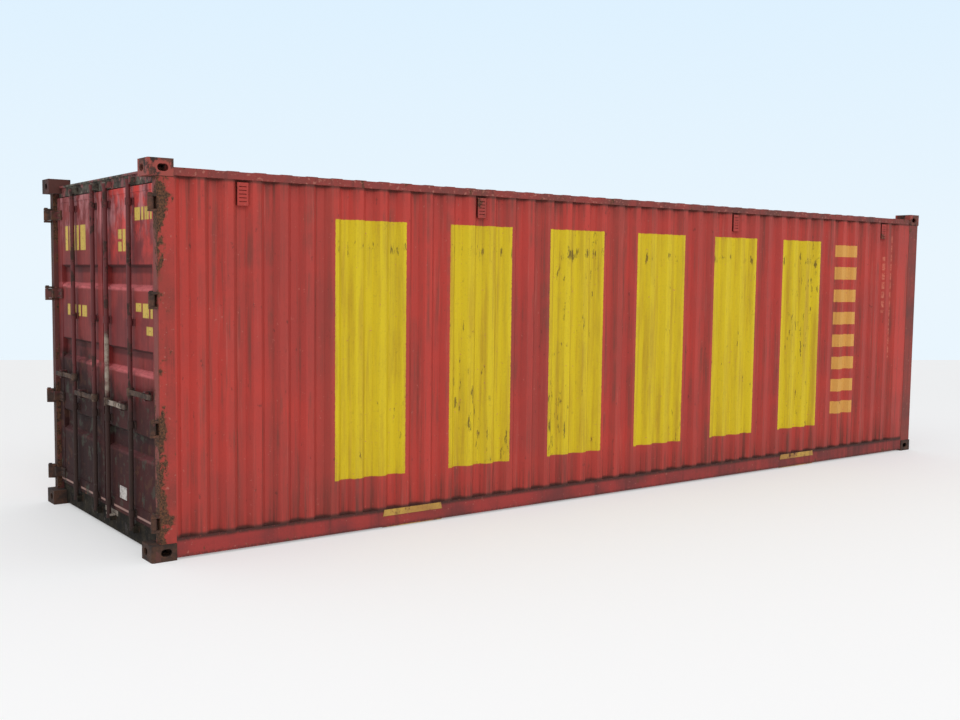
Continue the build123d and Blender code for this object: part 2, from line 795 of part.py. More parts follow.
# Locking bars: a tube with a notched cam at each end
for name, place in bar_places.items():
    with BuildPart() as lock_bar:
        with BuildSketch(corner_plan(cam_low)):
            with Locations((bar_line, place)):
                Circle(bar_radius)
                round_bore(bar_radius - bar_wall)
        extrude(amount=cam_high - cam_low)
        for middle in (cam_low, cam_high):
            with BuildSketch(corner_plan(middle - cam_height / 2)):
                with Locations((bar_line, place)):
                    round_bar(cam_radius)
                span(bar_line, bar_line + cam_reach, place - cam_width / 2, place + cam_width / 2)
                make_hull()
            extrude(amount=cam_height)
    save(lock_bar.part, f"right_{name}_lock_bar")
    save(left_hand(lock_bar.part), f"left_{name}_lock_bar")

    # Handle: a hub round the bar and a flat grip, cranked towards its tip
    middle = handle_heights[name]
    with BuildPart() as handle:
        with BuildSketch(corner_plan(middle - handle_width / 2)):
            span(
                handle_line - handle_thickness / 2,
                handle_line + handle_thickness / 2,
                place - handle_length * 2 / 3,
                place,
            )
            span(
                handle_tip_line - handle_thickness / 2,
                handle_tip_line + handle_thickness / 2,
                place - handle_length,
                place - handle_length * 2 / 3 + handle_thickness,
            )
        extrude(amount=handle_width)
        with BuildSketch(corner_plan(middle - hub_height / 2)):
            with Locations((bar_line, place)):
                round_bar(hub_radius)
        extrude(amount=hub_height)
        with BuildSketch(corner_plan(middle - hub_height / 2)):
            with Locations((bar_line, place)):
                RegularPolygon(bar_radius + hub_play, round_sides, major_radius=False)
        extrude(amount=hub_height, mode=Mode.SUBTRACT)
    save(handle.part, f"right_{name}_handle")
    save(left_hand(handle.part), f"left_{name}_handle")
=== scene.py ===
"""A worn red bulk container with a yellow striped side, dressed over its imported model.

Metres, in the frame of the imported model: the doors are at -X, the photographed long side
is -Y, and +Z is up from the undersides of the bottom castings. Places at the door end are
given as u, the distance in from the end plane, and v, the distance in from a side plane.
"""
from __future__ import annotations

import functools
import itertools
import logging
import math
import operator
import random
from dataclasses import dataclass, field
from enum import Enum
from typing import Iterable, Sequence, Union

import bmesh
import bpy
from mathutils import Matrix, Vector


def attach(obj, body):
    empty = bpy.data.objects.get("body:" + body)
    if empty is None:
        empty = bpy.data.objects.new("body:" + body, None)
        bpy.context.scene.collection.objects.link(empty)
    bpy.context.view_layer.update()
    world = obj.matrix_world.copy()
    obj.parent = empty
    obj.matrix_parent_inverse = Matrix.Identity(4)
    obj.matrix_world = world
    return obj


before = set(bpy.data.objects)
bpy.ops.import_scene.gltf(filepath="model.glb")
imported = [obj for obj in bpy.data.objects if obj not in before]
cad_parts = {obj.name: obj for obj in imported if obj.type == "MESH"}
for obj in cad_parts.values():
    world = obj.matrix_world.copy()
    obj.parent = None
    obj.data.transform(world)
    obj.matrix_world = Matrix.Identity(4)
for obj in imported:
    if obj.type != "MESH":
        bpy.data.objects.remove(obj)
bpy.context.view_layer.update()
LOG = logging.getLogger("container")

Colour = tuple[float, float, float]
Triple = tuple[float, float, float]
Span = tuple[float, float]
Socket = bpy.types.NodeSocket
Value = Union["Signal", float]
Tone = Union["Signal", Colour]


def tint(*parts: int) -> Colour:
    """Turns an 8-bit screen colour into the linear colour that shaders use.

    Args:
        parts: Red, green and blue, 0 to 255.

    Returns:
        The linear red, green and blue, 0 to 1.
    """
    levels = [part / 255.0 for part in parts]
    return tuple(level / 12.92 if level <= 0.04045 else ((level + 0.055) / 1.055) ** 2.4 for level in levels)


class Side(Enum):
    """The two long sides, seen from in front of the doors."""

    RIGHT = "right"
    LEFT = "left"

    @property
    def sign(self) -> int:
        """The side's direction along Y."""
        return -1 if self is Side.RIGHT else 1


class End(Enum):
    """The two ends, each as its direction along X."""

    DOOR = -1
    FRONT = 1


@dataclass(frozen=True)
class Plan:
    """Main sizes of the model that several pieces are placed by."""

    half_length: float = 4.5625
    half_width: float = 1.25
    top: float = 2.743
    casting_length: float = 0.178
    casting_width: float = 0.1935
    casting_height: float = 0.118
    rail_face: float = 0.008
    rail_bottom: Span = (0.015, 0.150)
    rail_top: Span = (2.633, 2.683)
    roof: float = 2.685
    leaf_face: float = 0.096
    pan_face: float = 0.100
    beam_face: float = 0.106
    hinges: tuple[float, ...] = (0.265, 0.919, 1.791, 2.445)
    guides: tuple[float, ...] = (0.232, 0.8794, 1.619, 2.480)
    bars: tuple[float, ...] = (1.097, 0.588)
    handles: tuple[float, ...] = (1.000, 1.120)

    def corner(self, end: End, side: Side, u: float, v: float, z: float) -> Triple:
        """Places a point by its distances in from an end plane and a side plane."""
        return (end.value * (self.half_length - u), side.sign * (self.half_width - v), z)

    def door(self, side: Side, u: float, v: float, z: float) -> Triple:
        """Places a point at the door end."""
        return self.corner(End.DOOR, side, u, v, z)


PLAN = Plan()
UP = (0.0, 0.0, 1.0)
FORWARD = (1.0, 0.0, 0.0)
OUT = (-1.0, 0.0, 0.0)
LEFT_HALF: Span = (-0.2, 0.2)


@dataclass(frozen=True)
class Signal:
    """One value over a surface, which sums, products and steps turn into others."""

    tree: bpy.types.NodeTree
    socket: Socket

    def math(self, operation: str, *values: Value) -> Signal:
        """Adds one math node to this signal's tree.

        Args:
            operation: The node's operation, such as MULTIPLY.
            values: One to three inputs.

        Returns:
            The result.
        """
        node = self.tree.nodes.new("ShaderNodeMath")
        node.operation = operation
        for socket, value in zip(node.inputs, values):
            feed(socket, value)
        return Signal(self.tree, node.outputs[0])

    def __mul__(self, other: Value) -> Signal:
        """The product."""
        return self.math("MULTIPLY", self, other)

    def __add__(self, other: Value) -> Signal:
        """The sum."""
        return self.math("ADD", self, other)

    def __sub__(self, other: Value) -> Signal:
        """The difference."""
        return self.math("SUBTRACT", self, other)

    def __rsub__(self, whole: float) -> Signal:
        """What the signal leaves of a number."""
        return self.math("SUBTRACT", whole, self)

    def __or__(self, other: Value) -> Signal:
        """The larger one, which joins two masks."""
        return self.math("MAXIMUM", self, other)

    def __abs__(self) -> Signal:
        """The signal without its sign."""
        return self.math("ABSOLUTE", self)

    def sign(self) -> Signal:
        """1 where the signal is above 0, and -1 where it is below."""
        return self.math("SIGN", self)

    def wrap(self, pitch: float) -> Signal:
        """Starts the signal again from 0 at each multiple of a pitch."""
        return self.math("WRAP", self, pitch, 0.0)

    def step(self, low: float, high: float) -> Signal:
        """Rises smoothly from 0 to 1 as the signal goes from low to high.

        Args:
            low: Where the result is 0.
            high: Where the result is 1, which may be below low.

        Returns:
            The result.
        """
        node = self.tree.nodes.new("ShaderNodeMapRange")
        node.interpolation_type = "SMOOTHSTEP"
        node.clamp = True
        feed(node.inputs["Value"], self)
        node.inputs["From Min"].default_value = low
        node.inputs["From Max"].default_value = high
        return Signal(self.tree, node.outputs["Result"])

    def band(self, span: Span, soft: float) -> Signal:
        """Marks the values in a span, with soft ends."""
        return self.step(span[0] - soft, span[0] + soft) * self.step(span[1] + soft, span[1] - soft)

    def blend(self, under: Tone, over: Tone) -> Signal:
        """Lays one colour over another where the signal is 1.

        Args:
            under: The lower colour.
            over: The upper colour.

        Returns:
            The mixed colour.
        """
        node = self.tree.nodes.new("ShaderNodeMix")
        node.data_type = "RGBA"
        feed(node.inputs[0], self)
        feed(node.inputs[6], under)
        feed(node.inputs[7], over)
        return Signal(self.tree, node.outputs[2])


def feed(socket: Socket, value: Union[Value, Tone]) -> None:
    """Links a signal to a socket, or sets the socket to a number or a colour.

    Args:
        socket: A node's input.
        value: What it is given.
    """
    if isinstance(value, Signal):
        value.tree.links.new(value.socket, socket)
    elif isinstance(value, float):
        socket.default_value = value
    else:
        socket.default_value = (*value, 1.0)


def union(masks: Iterable[Signal]) -> Signal:
    """Joins masks, at least one."""
    return functools.reduce(operator.or_, masks)


class Graph:
    """A new material's nodes, with places and directions in the part's own frame as signals."""

    def __init__(self, name: str) -> None:
        """Makes a plain material.

        Args:
            name: The material's name.
        """
        self.material = bpy.data.materials.new(name)
        self.material.use_nodes = True
        self.tree = self.material.node_tree
        self.tree.nodes.clear()
        self.shader = self.tree.nodes.new("ShaderNodeBsdfPrincipled")
        self.output = self.tree.nodes.new("ShaderNodeOutputMaterial")
        self.tree.links.new(self.shader.outputs["BSDF"], self.output.inputs["Surface"])
        coordinates = self.tree.nodes.new("ShaderNodeTexCoord")
        self.place = coordinates.outputs["Object"]
        self.x, self.y, self.z = self.split(self.place)
        self.facing_x, self.facing_y, self.facing_z = self.split(coordinates.outputs["Normal"])

    def split(self, vector: Socket) -> list[Signal]:
        """Takes a vector apart.

        Args:
            vector: A node's output.

        Returns:
            Its x, y and z.
        """
        node = self.tree.nodes.new("ShaderNodeSeparateXYZ")
        self.tree.links.new(vector, node.inputs[0])
        return [Signal(self.tree, part) for part in node.outputs]

    def noise(self, scale: float, stretch: Triple = (1.0, 1.0, 1.0), detail: float = 3.0,
              roughness: float = 0.55, shift: Triple = (0.0, 0.0, 0.0)) -> Signal:
        """Adds a noise pattern, about 0.5 on average.

        Args:
            scale: Features to a metre.
            stretch: How much faster the pattern runs along X, Y and Z.
            detail: Octaves.
            roughness: Weight of the finer octaves.
            shift: Offset of the pattern, so that two of one scale differ.

        Returns:
            The pattern's value.
        """
        mapping = self.tree.nodes.new("ShaderNodeMapping")
        mapping.inputs["Scale"].default_value = stretch
        mapping.inputs["Location"].default_value = shift
        self.tree.links.new(self.place, mapping.inputs["Vector"])
        node = self.tree.nodes.new("ShaderNodeTexNoise")
        for name, value in (("Scale", scale), ("Detail", detail), ("Roughness", roughness)):
            node.inputs[name].default_value = value
        self.tree.links.new(mapping.outputs[0], node.inputs["Vector"])
        return Signal(self.tree, node.outputs[0])


class Coat(Graph):
    """Paint, rust and dirt on one surface, laid on one after another."""

    def __init__(self, name: str, base: Colour, rough: float, gloss: float = 0.28) -> None:
        """Starts with one tone all over.

        Args:
            name: The material's name.
            base: The lowest layer's colour.
            rough: Its roughness.
            gloss: The shader's specular level.
        """
        super().__init__(name)
        self.shader.inputs["Specular IOR Level"].default_value = gloss
        self.colour: Tone = base
        self.rough: Value = rough
        self.relief: Value = 0.0
        self.metal: Value = 0.0

    def lay(self, share: Signal, tone: Tone, rough: float | None = None, height: float = 0.0) -> None:
        """Adds a layer.

        Args:
            share: Where the layer covers what is under it, 0 to 1.
            tone: Its colour.
            rough: Its roughness, or None to keep what is there.
            height: How far it stands up, in metres.
        """
        self.colour = share.blend(self.colour, tone)
        if rough is not None:
            self.rough = (1.0 - share) * self.rough + share * rough
        if height:
            self.swell(share, height)

    def swell(self, signal: Signal, height: float) -> None:
        """Adds relief without colour, height being what a signal of 1 stands for in metres."""
        self.relief = signal * height + self.relief

    def rust(self, boost: Signal, cut: float, size: float, seed: float, tones: Sequence[Colour]) -> None:
        """Lets rust break through: a stained rim, and scaly patches inside it.

        Args:
            boost: Added to the pattern where rust comes sooner.
            cut: Where in the pattern the scale starts, lower for more rust.
            size: Patches to a metre.
            seed: Offset of the pattern.
            tones: The stain's colour, and the scale's dark and bright ones.
        """
        stain, dark, bright = tones
        spots = self.noise(size, (1.0, 1.0, 0.75), 8.0, 0.72, (seed, 6.0, 2.0)) + boost
        grains = self.noise(70.0, detail=5.0, roughness=0.75)
        self.lay(spots.step(cut - 0.05, cut + 0.02) * 0.55, stain, 0.7)
        scale = spots.step(cut, cut + 0.035)
        self.lay(scale, grains.step(0.38, 0.62).blend(dark, bright), 0.88, 0.0006)
        self.swell(scale * grains, 0.0012)

    def close(self) -> bpy.types.Material:
        """Feeds the shader with what was laid.

        Returns:
            The material.
        """
        bump = self.tree.nodes.new("ShaderNodeBump")
        bump.inputs["Distance"].default_value = 1.0
        feed(bump.inputs["Height"], self.relief)
        self.tree.links.new(bump.outputs[0], self.shader.inputs["Normal"])
        feed(self.shader.inputs["Base Color"], self.colour)
        feed(self.shader.inputs["Roughness"], self.rough)
        feed(self.shader.inputs["Metallic"], self.metal)
        return self.material


@dataclass(frozen=True)
class StripeDesign:
    """Plain upright yellow bars along the long side, a column of blocks and two thin rules."""

    start: float = -3.1435
    count: int = 6
    pitch: float = 1.05
    bar: float = 0.63
    rise: Span = (0.42, 2.39)
    column: Span = (3.05, 3.39)
    column_rise: Span = (0.52, 2.36)
    block_pitch: float = 0.245
    block: float = 0.135
    rules: tuple[tuple[Span, Span], ...] = (((3.930, 3.952), (1.62, 2.25)), ((4.100, 4.120), (1.10, 2.52)))
    rule_edge: float = 0.005
    rule_pitch: float = 0.105
    tick: Span = (0.080, 0.066)
    edge: float = 0.004
    raggedness: float = 0.012

    def masks(self, coat: Coat, along: Signal) -> tuple[Signal, Signal, Signal]:
        """Draws the design's shapes.

        Args:
            coat: The coat that they go on.
            along: Position along the side, from left to right as seen from outside.

        Returns:
            The bars, the column's blocks and the rules, each 1 inside its shapes and 0 outside.
        """
        ragged = (coat.noise(60.0, detail=3.0) - 0.5) * self.raggedness
        along = along + ragged
        height = coat.z + ragged
        reach = along - self.start
        bars = reach.band((0.0, self.count * self.pitch), self.edge) * height.band(self.rise, self.edge)
        bars = bars * reach.wrap(self.pitch).step(self.bar + self.edge, self.bar - self.edge)
        column = along.band(self.column, self.edge) * height.band(self.column_rise, self.edge)
        blocks = (height - self.column_rise[0]).wrap(self.block_pitch)
        column = column * blocks.step(self.block + self.edge, self.block - self.edge)
        ticks = height.wrap(self.rule_pitch).step(*self.tick)
        rules = union(along.band(across, self.rule_edge) * height.band(rise, self.edge) * ticks
                      for across, rise in self.rules)
        return bars, column, rules


@dataclass(frozen=True)
class SidePaint:
    """The long side's red paint: streaked and chipped outside, dull and scuffed inside."""

    name: str
    design: StripeDesign | None = None
    side: Side = Side.RIGHT
    red: Colour = tint(178, 58, 49)
    faded: Colour = tint(160, 57, 50)
    streak: Colour = tint(104, 62, 52)
    chalk: Colour = tint(178, 98, 88)
    inside: Colour = tint(120, 62, 54)
    yellow: Colour = tint(205, 180, 20)
    old_yellow: Colour = tint(182, 150, 26)
    pale_yellow: Colour = tint(208, 158, 74)
    pale_red: Colour = tint(214, 136, 110)
    under: Colour = tint(96, 78, 34)
    grime_and_shade: Colour = tint(70, 44, 38)
    rust: tuple[Colour, ...] = (tint(116, 58, 42), tint(62, 38, 32), tint(120, 68, 46))
    rust_cut: float = 0.70
    high_scratches: Span = (2.13, 2.23)
    splashed: Span = (0.50, 0.12)
    dripped: Span = (2.48, 2.64)
    lower_seam: Span = (0.182, 0.156)
    under_rail_shade: Span = (2.604, 2.626)

    def make(self) -> bpy.types.Material:
        """Builds the finish.

        Returns:
            The material.
        """
        coat = Coat(self.name, self.red, 0.56)
        coat.lay(coat.noise(1.3, detail=6.0).step(0.34, 0.68), self.faded)
        panels = coat.noise(4.8, (1.0, 1.0, 0.02), 2.0, 0.5, (5.0, 1.0, 0.0))
        coat.lay(panels.step(0.45, 0.75) * 0.35, self.streak)
        fine = coat.noise(60.0, detail=5.0, roughness=0.7)
        bare = 1.0 if self.design is None else 1.0 - self.draw(self.design, coat, fine) * 0.72
        runs = coat.noise(15.0, (1.7, 1.7, 0.05), 6.0, 0.70, (0.0, 4.0, 0.0))
        broken = coat.noise(3.4, (1.0, 1.0, 0.7), 5.0, 0.6, (6.0, 3.0, 1.0)).step(0.36, 0.60)
        coat.lay(runs.step(0.46, 0.66) * broken * bare * 0.66, self.streak, 0.68)
        pale = coat.noise(19.0, (1.5, 1.5, 0.07), 4.0, 0.6, (8.0, 2.0, 1.0))
        coat.lay(pale.step(0.58, 0.78) * bare * 0.42, self.chalk, 0.72)
        coat.lay(fine.step(0.50, 0.80) * 0.22, self.grime_and_shade)
        flecks = coat.noise(42.0, detail=2.0, shift=(4.0, 9.0, 2.0)).step(0.71, 0.74)
        coat.lay(flecks * 0.7, self.chalk, 0.8)
        dents = coat.noise(30.0, (1.0, 1.0, 0.5), 4.0, 0.6, (1.0, 6.0, 2.0)).step(0.66, 0.70)
        coat.lay(dents * bare * 0.5, self.grime_and_shade, 0.8)
        low = coat.z.step(*self.splashed) * runs.step(0.30, 0.72)
        top = coat.z.step(*self.dripped) * runs.step(0.34, 0.66)
        coat.lay(low * 0.55, self.grime_and_shade, 0.8)
        coat.lay(top * 0.45, self.grime_and_shade, 0.75)
        # A dark line just above the bottom rail: partly grime, partly painted shade where wall and rail
        # meet.
        coat.lay(coat.z.step(*self.lower_seam) * 0.9, self.grime_and_shade, 0.9)
        # Painted shade in a band just under the top rail.
        coat.lay(coat.z.step(*self.under_rail_shade) * 0.75, self.grime_and_shade, 0.9)
        coat.rust(low * 0.05 + top * 0.03, self.rust_cut, 9.0, 1.0, self.rust)
        inner = (coat.facing_y * -float(self.side.sign)).step(-0.2, 0.2)
        scuffs = coat.noise(6.0, (1.0, 1.0, 0.4), 7.0, 0.7, (2.0, 2.0, 9.0)).step(0.40, 0.72)
        coat.lay(inner, (scuffs * 0.7).blend(self.inside, self.grime_and_shade), 0.75)
        coat.swell(coat.noise(2.1, (1.0, 1.0, 0.7), 2.0), 0.012)
        return coat.close()

    def draw(self, design: StripeDesign, coat: Coat, fine: Signal) -> Signal:
        """Paints the design, with scratches and scrapes in it.

        Args:
            design: Its shapes.
            coat: The coat that it goes on.
            fine: A fine pattern that breaks the rules up.

        Returns:
            1 in the bars and the column, 0 elsewhere.
        """
        bars, column, rules = design.masks(coat, coat.x * -float(self.side.sign))
        aged = coat.noise(15.0, (1.0, 1.0, 0.06), 5.0, 0.65).step(0.42, 0.72)
        coat.lay(bars, aged.blend(self.yellow, self.old_yellow), 0.6)
        coat.lay(column * 0.86, self.pale_yellow, 0.64)
        coat.lay(rules * fine.step(0.62, 0.44) * 0.55, self.pale_red, 0.66)
        high = coat.z.band(self.high_scratches, 0.03) * 0.085
        scraped = coat.noise(0.9, (1.0, 1.0, 0.6), 2.0, shift=(2.6, 0.0, 0.4)).step(0.52, 0.64) * 0.075
        scratch = coat.noise(24.0, (1.0, 1.0, 0.24), 7.0, 0.72, (3.0, 1.0, 7.0)) + high + scraped
        shapes = bars | column
        coat.lay(shapes * scratch.step(0.645, 0.70) * 0.85, self.under, 0.8)
        return shapes


@dataclass(frozen=True)
class FramePaint:
    """Red paint on posts and rails, rusting from the edges and at the lugs."""

    name: str
    red: Colour = tint(166, 56, 48)
    faded: Colour = tint(142, 56, 49)
    end_face_shade: Colour = tint(124, 60, 54)
    inner_tone: Colour = tint(84, 50, 46)
    grime_and_shade: Colour = tint(58, 41, 36)
    chalk: Colour = tint(170, 110, 96)
    rust: tuple[Colour, ...] = (tint(112, 62, 44), tint(54, 37, 32), tint(118, 72, 50))
    rust_cut: float = 0.655
    edge_rust: float = 0.0
    top_rust: float = 0.0
    lug_rust: float = 0.0
    low_rust: float = 0.0
    left_grime: float = 0.0
    fleck_cut: float = 0.66
    far_grime: float = 0.0
    line: float = 0.0
    line_grime_and_shade: float = 0.0
    around_line: Span = (-0.014, 0.020)
    foot: Span = (0.046, 0.018)
    far_part: Span = (-1.0, 4.5)
    door_edge: Span = (-4.400, -4.490)
    door_edge_low: Span = (-4.36, -4.47)
    upper_part: Span = (1.80, 2.20)
    lower_part: Span = (1.20, 0.90)
    low_part: Span = (1.15, 0.80)
    top_part: Span = (1.95, 2.60)
    ground: Span = (0.10, 0.02)
    lug_reach: float = 0.07

    def make(self) -> bpy.types.Material:
        """Builds the finish.

        Returns:
            The material.
        """
        coat = Coat(self.name, self.red, 0.58)
        coat.lay(coat.noise(2.6, detail=7.0).step(0.36, 0.68), self.faded)
        # Painted shade: faces that look along X are laid in a darker tone.
        end = abs(coat.facing_x).step(0.4, 0.7)
        coat.lay(end * 0.85, self.end_face_shade, 0.66)
        inner = (coat.y.sign() * coat.facing_y).step(-0.2, -0.5)
        coat.lay(inner * 0.9, self.inner_tone, 0.75)
        runs = coat.noise(12.0, (1.4, 1.4, 0.08), 5.0, 0.66, (0.0, 4.0, 0.0))
        coat.lay(runs.step(0.50, 0.78) * 0.50, self.grime_and_shade, 0.7)
        fine = coat.noise(65.0, detail=5.0, roughness=0.7)
        coat.lay(fine.step(0.46, 0.80) * 0.30, self.grime_and_shade)
        flecks = coat.noise(38.0, detail=3.0).step(self.fleck_cut, self.fleck_cut + 0.04)
        coat.lay(flecks * 0.55, self.chalk, 0.75)
        if self.far_grime > 0.0:
            coat.lay(coat.x.step(*self.far_part) * runs.step(0.30, 0.60) * self.far_grime, self.grime_and_shade, 0.8)
        if self.line_grime_and_shade > 0.0:
            # A dark line along the rail at the given height: partly grime, partly painted shade where the
            # wall meets the rail.
            seam = coat.z.band((self.line + self.around_line[0], self.line + self.around_line[1]), 0.014)
            coat.lay(seam * fine.step(0.26, 0.46) * self.line_grime_and_shade, self.grime_and_shade, 0.85)
            coat.lay(coat.z.step(*self.foot) * fine.step(0.34, 0.56) * 0.7, self.grime_and_shade, 0.85)
        coat.rust(self.boost(coat), self.rust_cut, 10.0, 3.0, self.rust)
        if self.left_grime > 0.0:
            coat.lay(coat.y.step(*LEFT_HALF) * end * self.left_grime, self.grime_and_shade, 0.8)
        coat.swell(coat.noise(5.0, detail=2.0), 0.005)
        return coat.close()

    def boost(self, coat: Coat) -> Signal:
        """Works out where rust comes sooner: the door end's edge, the top, the foot and the lugs.

        Args:
            coat: The coat that it shows in.

        Returns:
            What is added to the rust's pattern.
        """
        z = coat.z
        uneven = z.step(*self.upper_part) | z.step(*self.lower_part) | 0.35
        total = coat.x.step(*self.door_edge) * self.edge_rust * uneven
        total = total + z.step(*self.top_part) * self.top_rust
        total = total + z.step(*self.ground) * 0.05
        if self.low_rust > 0.0:
            total = total + z.step(*self.low_part) * coat.x.step(*self.door_edge_low) * self.low_rust
        if self.lug_rust > 0.0:
            reach = self.lug_reach
            lugs = union(z.band((height - reach, height + reach), 0.05) for height in PLAN.hinges)
            total = total + lugs * self.lug_rust
        return total


@dataclass(frozen=True)
class BareSteel:
    """Heavy steel with most of its paint gone: rust in several tones, and rubbed places."""

    name: str
    paint: Colour
    paint_left: float = 0.4
    dark: Colour = tint(50, 38, 33)
    bright: Colour = tint(98, 64, 48)
    wear: Colour = tint(112, 100, 92)
    fleck: Colour = tint(150, 138, 126)
    flecks: float = 0.0
    low_dark: float = 0.0
    left_dark: float = 0.0
    worn: Span | None = None
    patch: tuple[Span, Span] | None = None
    gloss: float = 0.3
    dark_rise: Span = (1.24, 0.86)

    def make(self) -> bpy.types.Material:
        """Builds the finish.

        Returns:
            The material.
        """
        coat = Coat(self.name, self.dark, 0.86, self.gloss)
        coarse = coat.noise(12.0, detail=8.0, roughness=0.7)
        fine = coat.noise(90.0, detail=6.0, roughness=0.75)
        coat.lay(coarse.step(0.38, 0.64), self.bright)
        coat.lay(fine.step(0.42, 0.70) * 0.6, self.dark)
        cut = 0.72 - 0.34 * self.paint_left
        left = coat.noise(7.0, (1.0, 1.0, 0.8), 7.0, 0.68, (4.0, 4.0, 1.0)).step(cut, cut + 0.05)
        coat.lay(left, self.paint, 0.6, 0.0004)
        if self.low_dark > 0.0:
            coat.lay(coat.z.step(*self.dark_rise) * self.low_dark, self.dark, 0.85)
        if self.left_dark > 0.0:
            coat.lay(coat.y.step(*LEFT_HALF) * self.left_dark, self.dark, 0.85)
        if self.worn is not None:
            coat.lay(coat.z.band(self.worn, 0.05) * coarse.step(0.66, 0.42), self.fleck, 0.45)
        if self.flecks > 0.0:
            spots = coat.noise(26.0, detail=4.0, shift=(7.0, 0.0, 3.0)).step(0.62, 0.67)
            coat.lay(spots * self.flecks, self.fleck, 0.8)
        if self.patch is not None:
            across, rise = self.patch
            shape = coat.y.band(across, 0.006) * coat.z.band(rise, 0.004)
            coat.lay(shape * fine.step(0.64, 0.50), self.fleck, 0.7)
        rubs = coat.noise(19.0, (1.0, 1.0, 2.6), 5.0, 0.6, (7.0, 0.0, 3.0)).step(0.66, 0.76)
        coat.lay(rubs * 0.5, self.wear, 0.5)
        coat.metal = rubs * 0.4
        coat.swell(coarse * 0.6 + fine * 0.4, 0.0016)
        return coat.close()


@dataclass(frozen=True)
class BlockRow:
    """Plain painted blocks beside each other on one door, as spans of v, and their span of z."""

    side: Side
    rise: Span
    blocks: tuple[Span, ...]
    edge: float = 0.004

    def mask(self, coat: Coat) -> Signal:
        """Draws the blocks.

        Args:
            coat: The coat that they go on.

        Returns:
            1 inside the blocks and 0 outside.
        """
        inset = PLAN.half_width - coat.y * float(self.side.sign)
        across = union(inset.band(block, self.edge) for block in self.blocks)
        return across * coat.z.band(self.rise, self.edge)


DOOR_BLOCKS = (
    BlockRow(Side.RIGHT, (2.345, 2.435), ((0.200, 0.240), (0.265, 0.345), (0.370, 0.410), (0.435, 0.545))),
    BlockRow(Side.RIGHT, (2.13, 2.20), ((0.820, 0.900),)),
    BlockRow(Side.RIGHT, (2.22, 2.29), ((0.820, 0.900),)),
    BlockRow(Side.RIGHT, (2.13, 2.29), ((0.740, 0.800),)),
    BlockRow(Side.RIGHT, (1.66, 1.76), ((0.200, 0.250), (0.280, 0.400))),
    BlockRow(Side.RIGHT, (1.70, 1.76), ((0.430, 0.540),)),
    BlockRow(Side.RIGHT, (1.54, 1.60), ((0.200, 0.330),)),
    BlockRow(Side.LEFT, (2.15, 2.35), ((0.300, 0.370), (0.410, 0.560), (0.600, 0.660), (0.700, 0.830))),
    BlockRow(Side.LEFT, (1.62, 1.71), ((0.330, 0.400), (0.440, 0.560), (0.620, 0.680), (0.720, 0.840))),
)


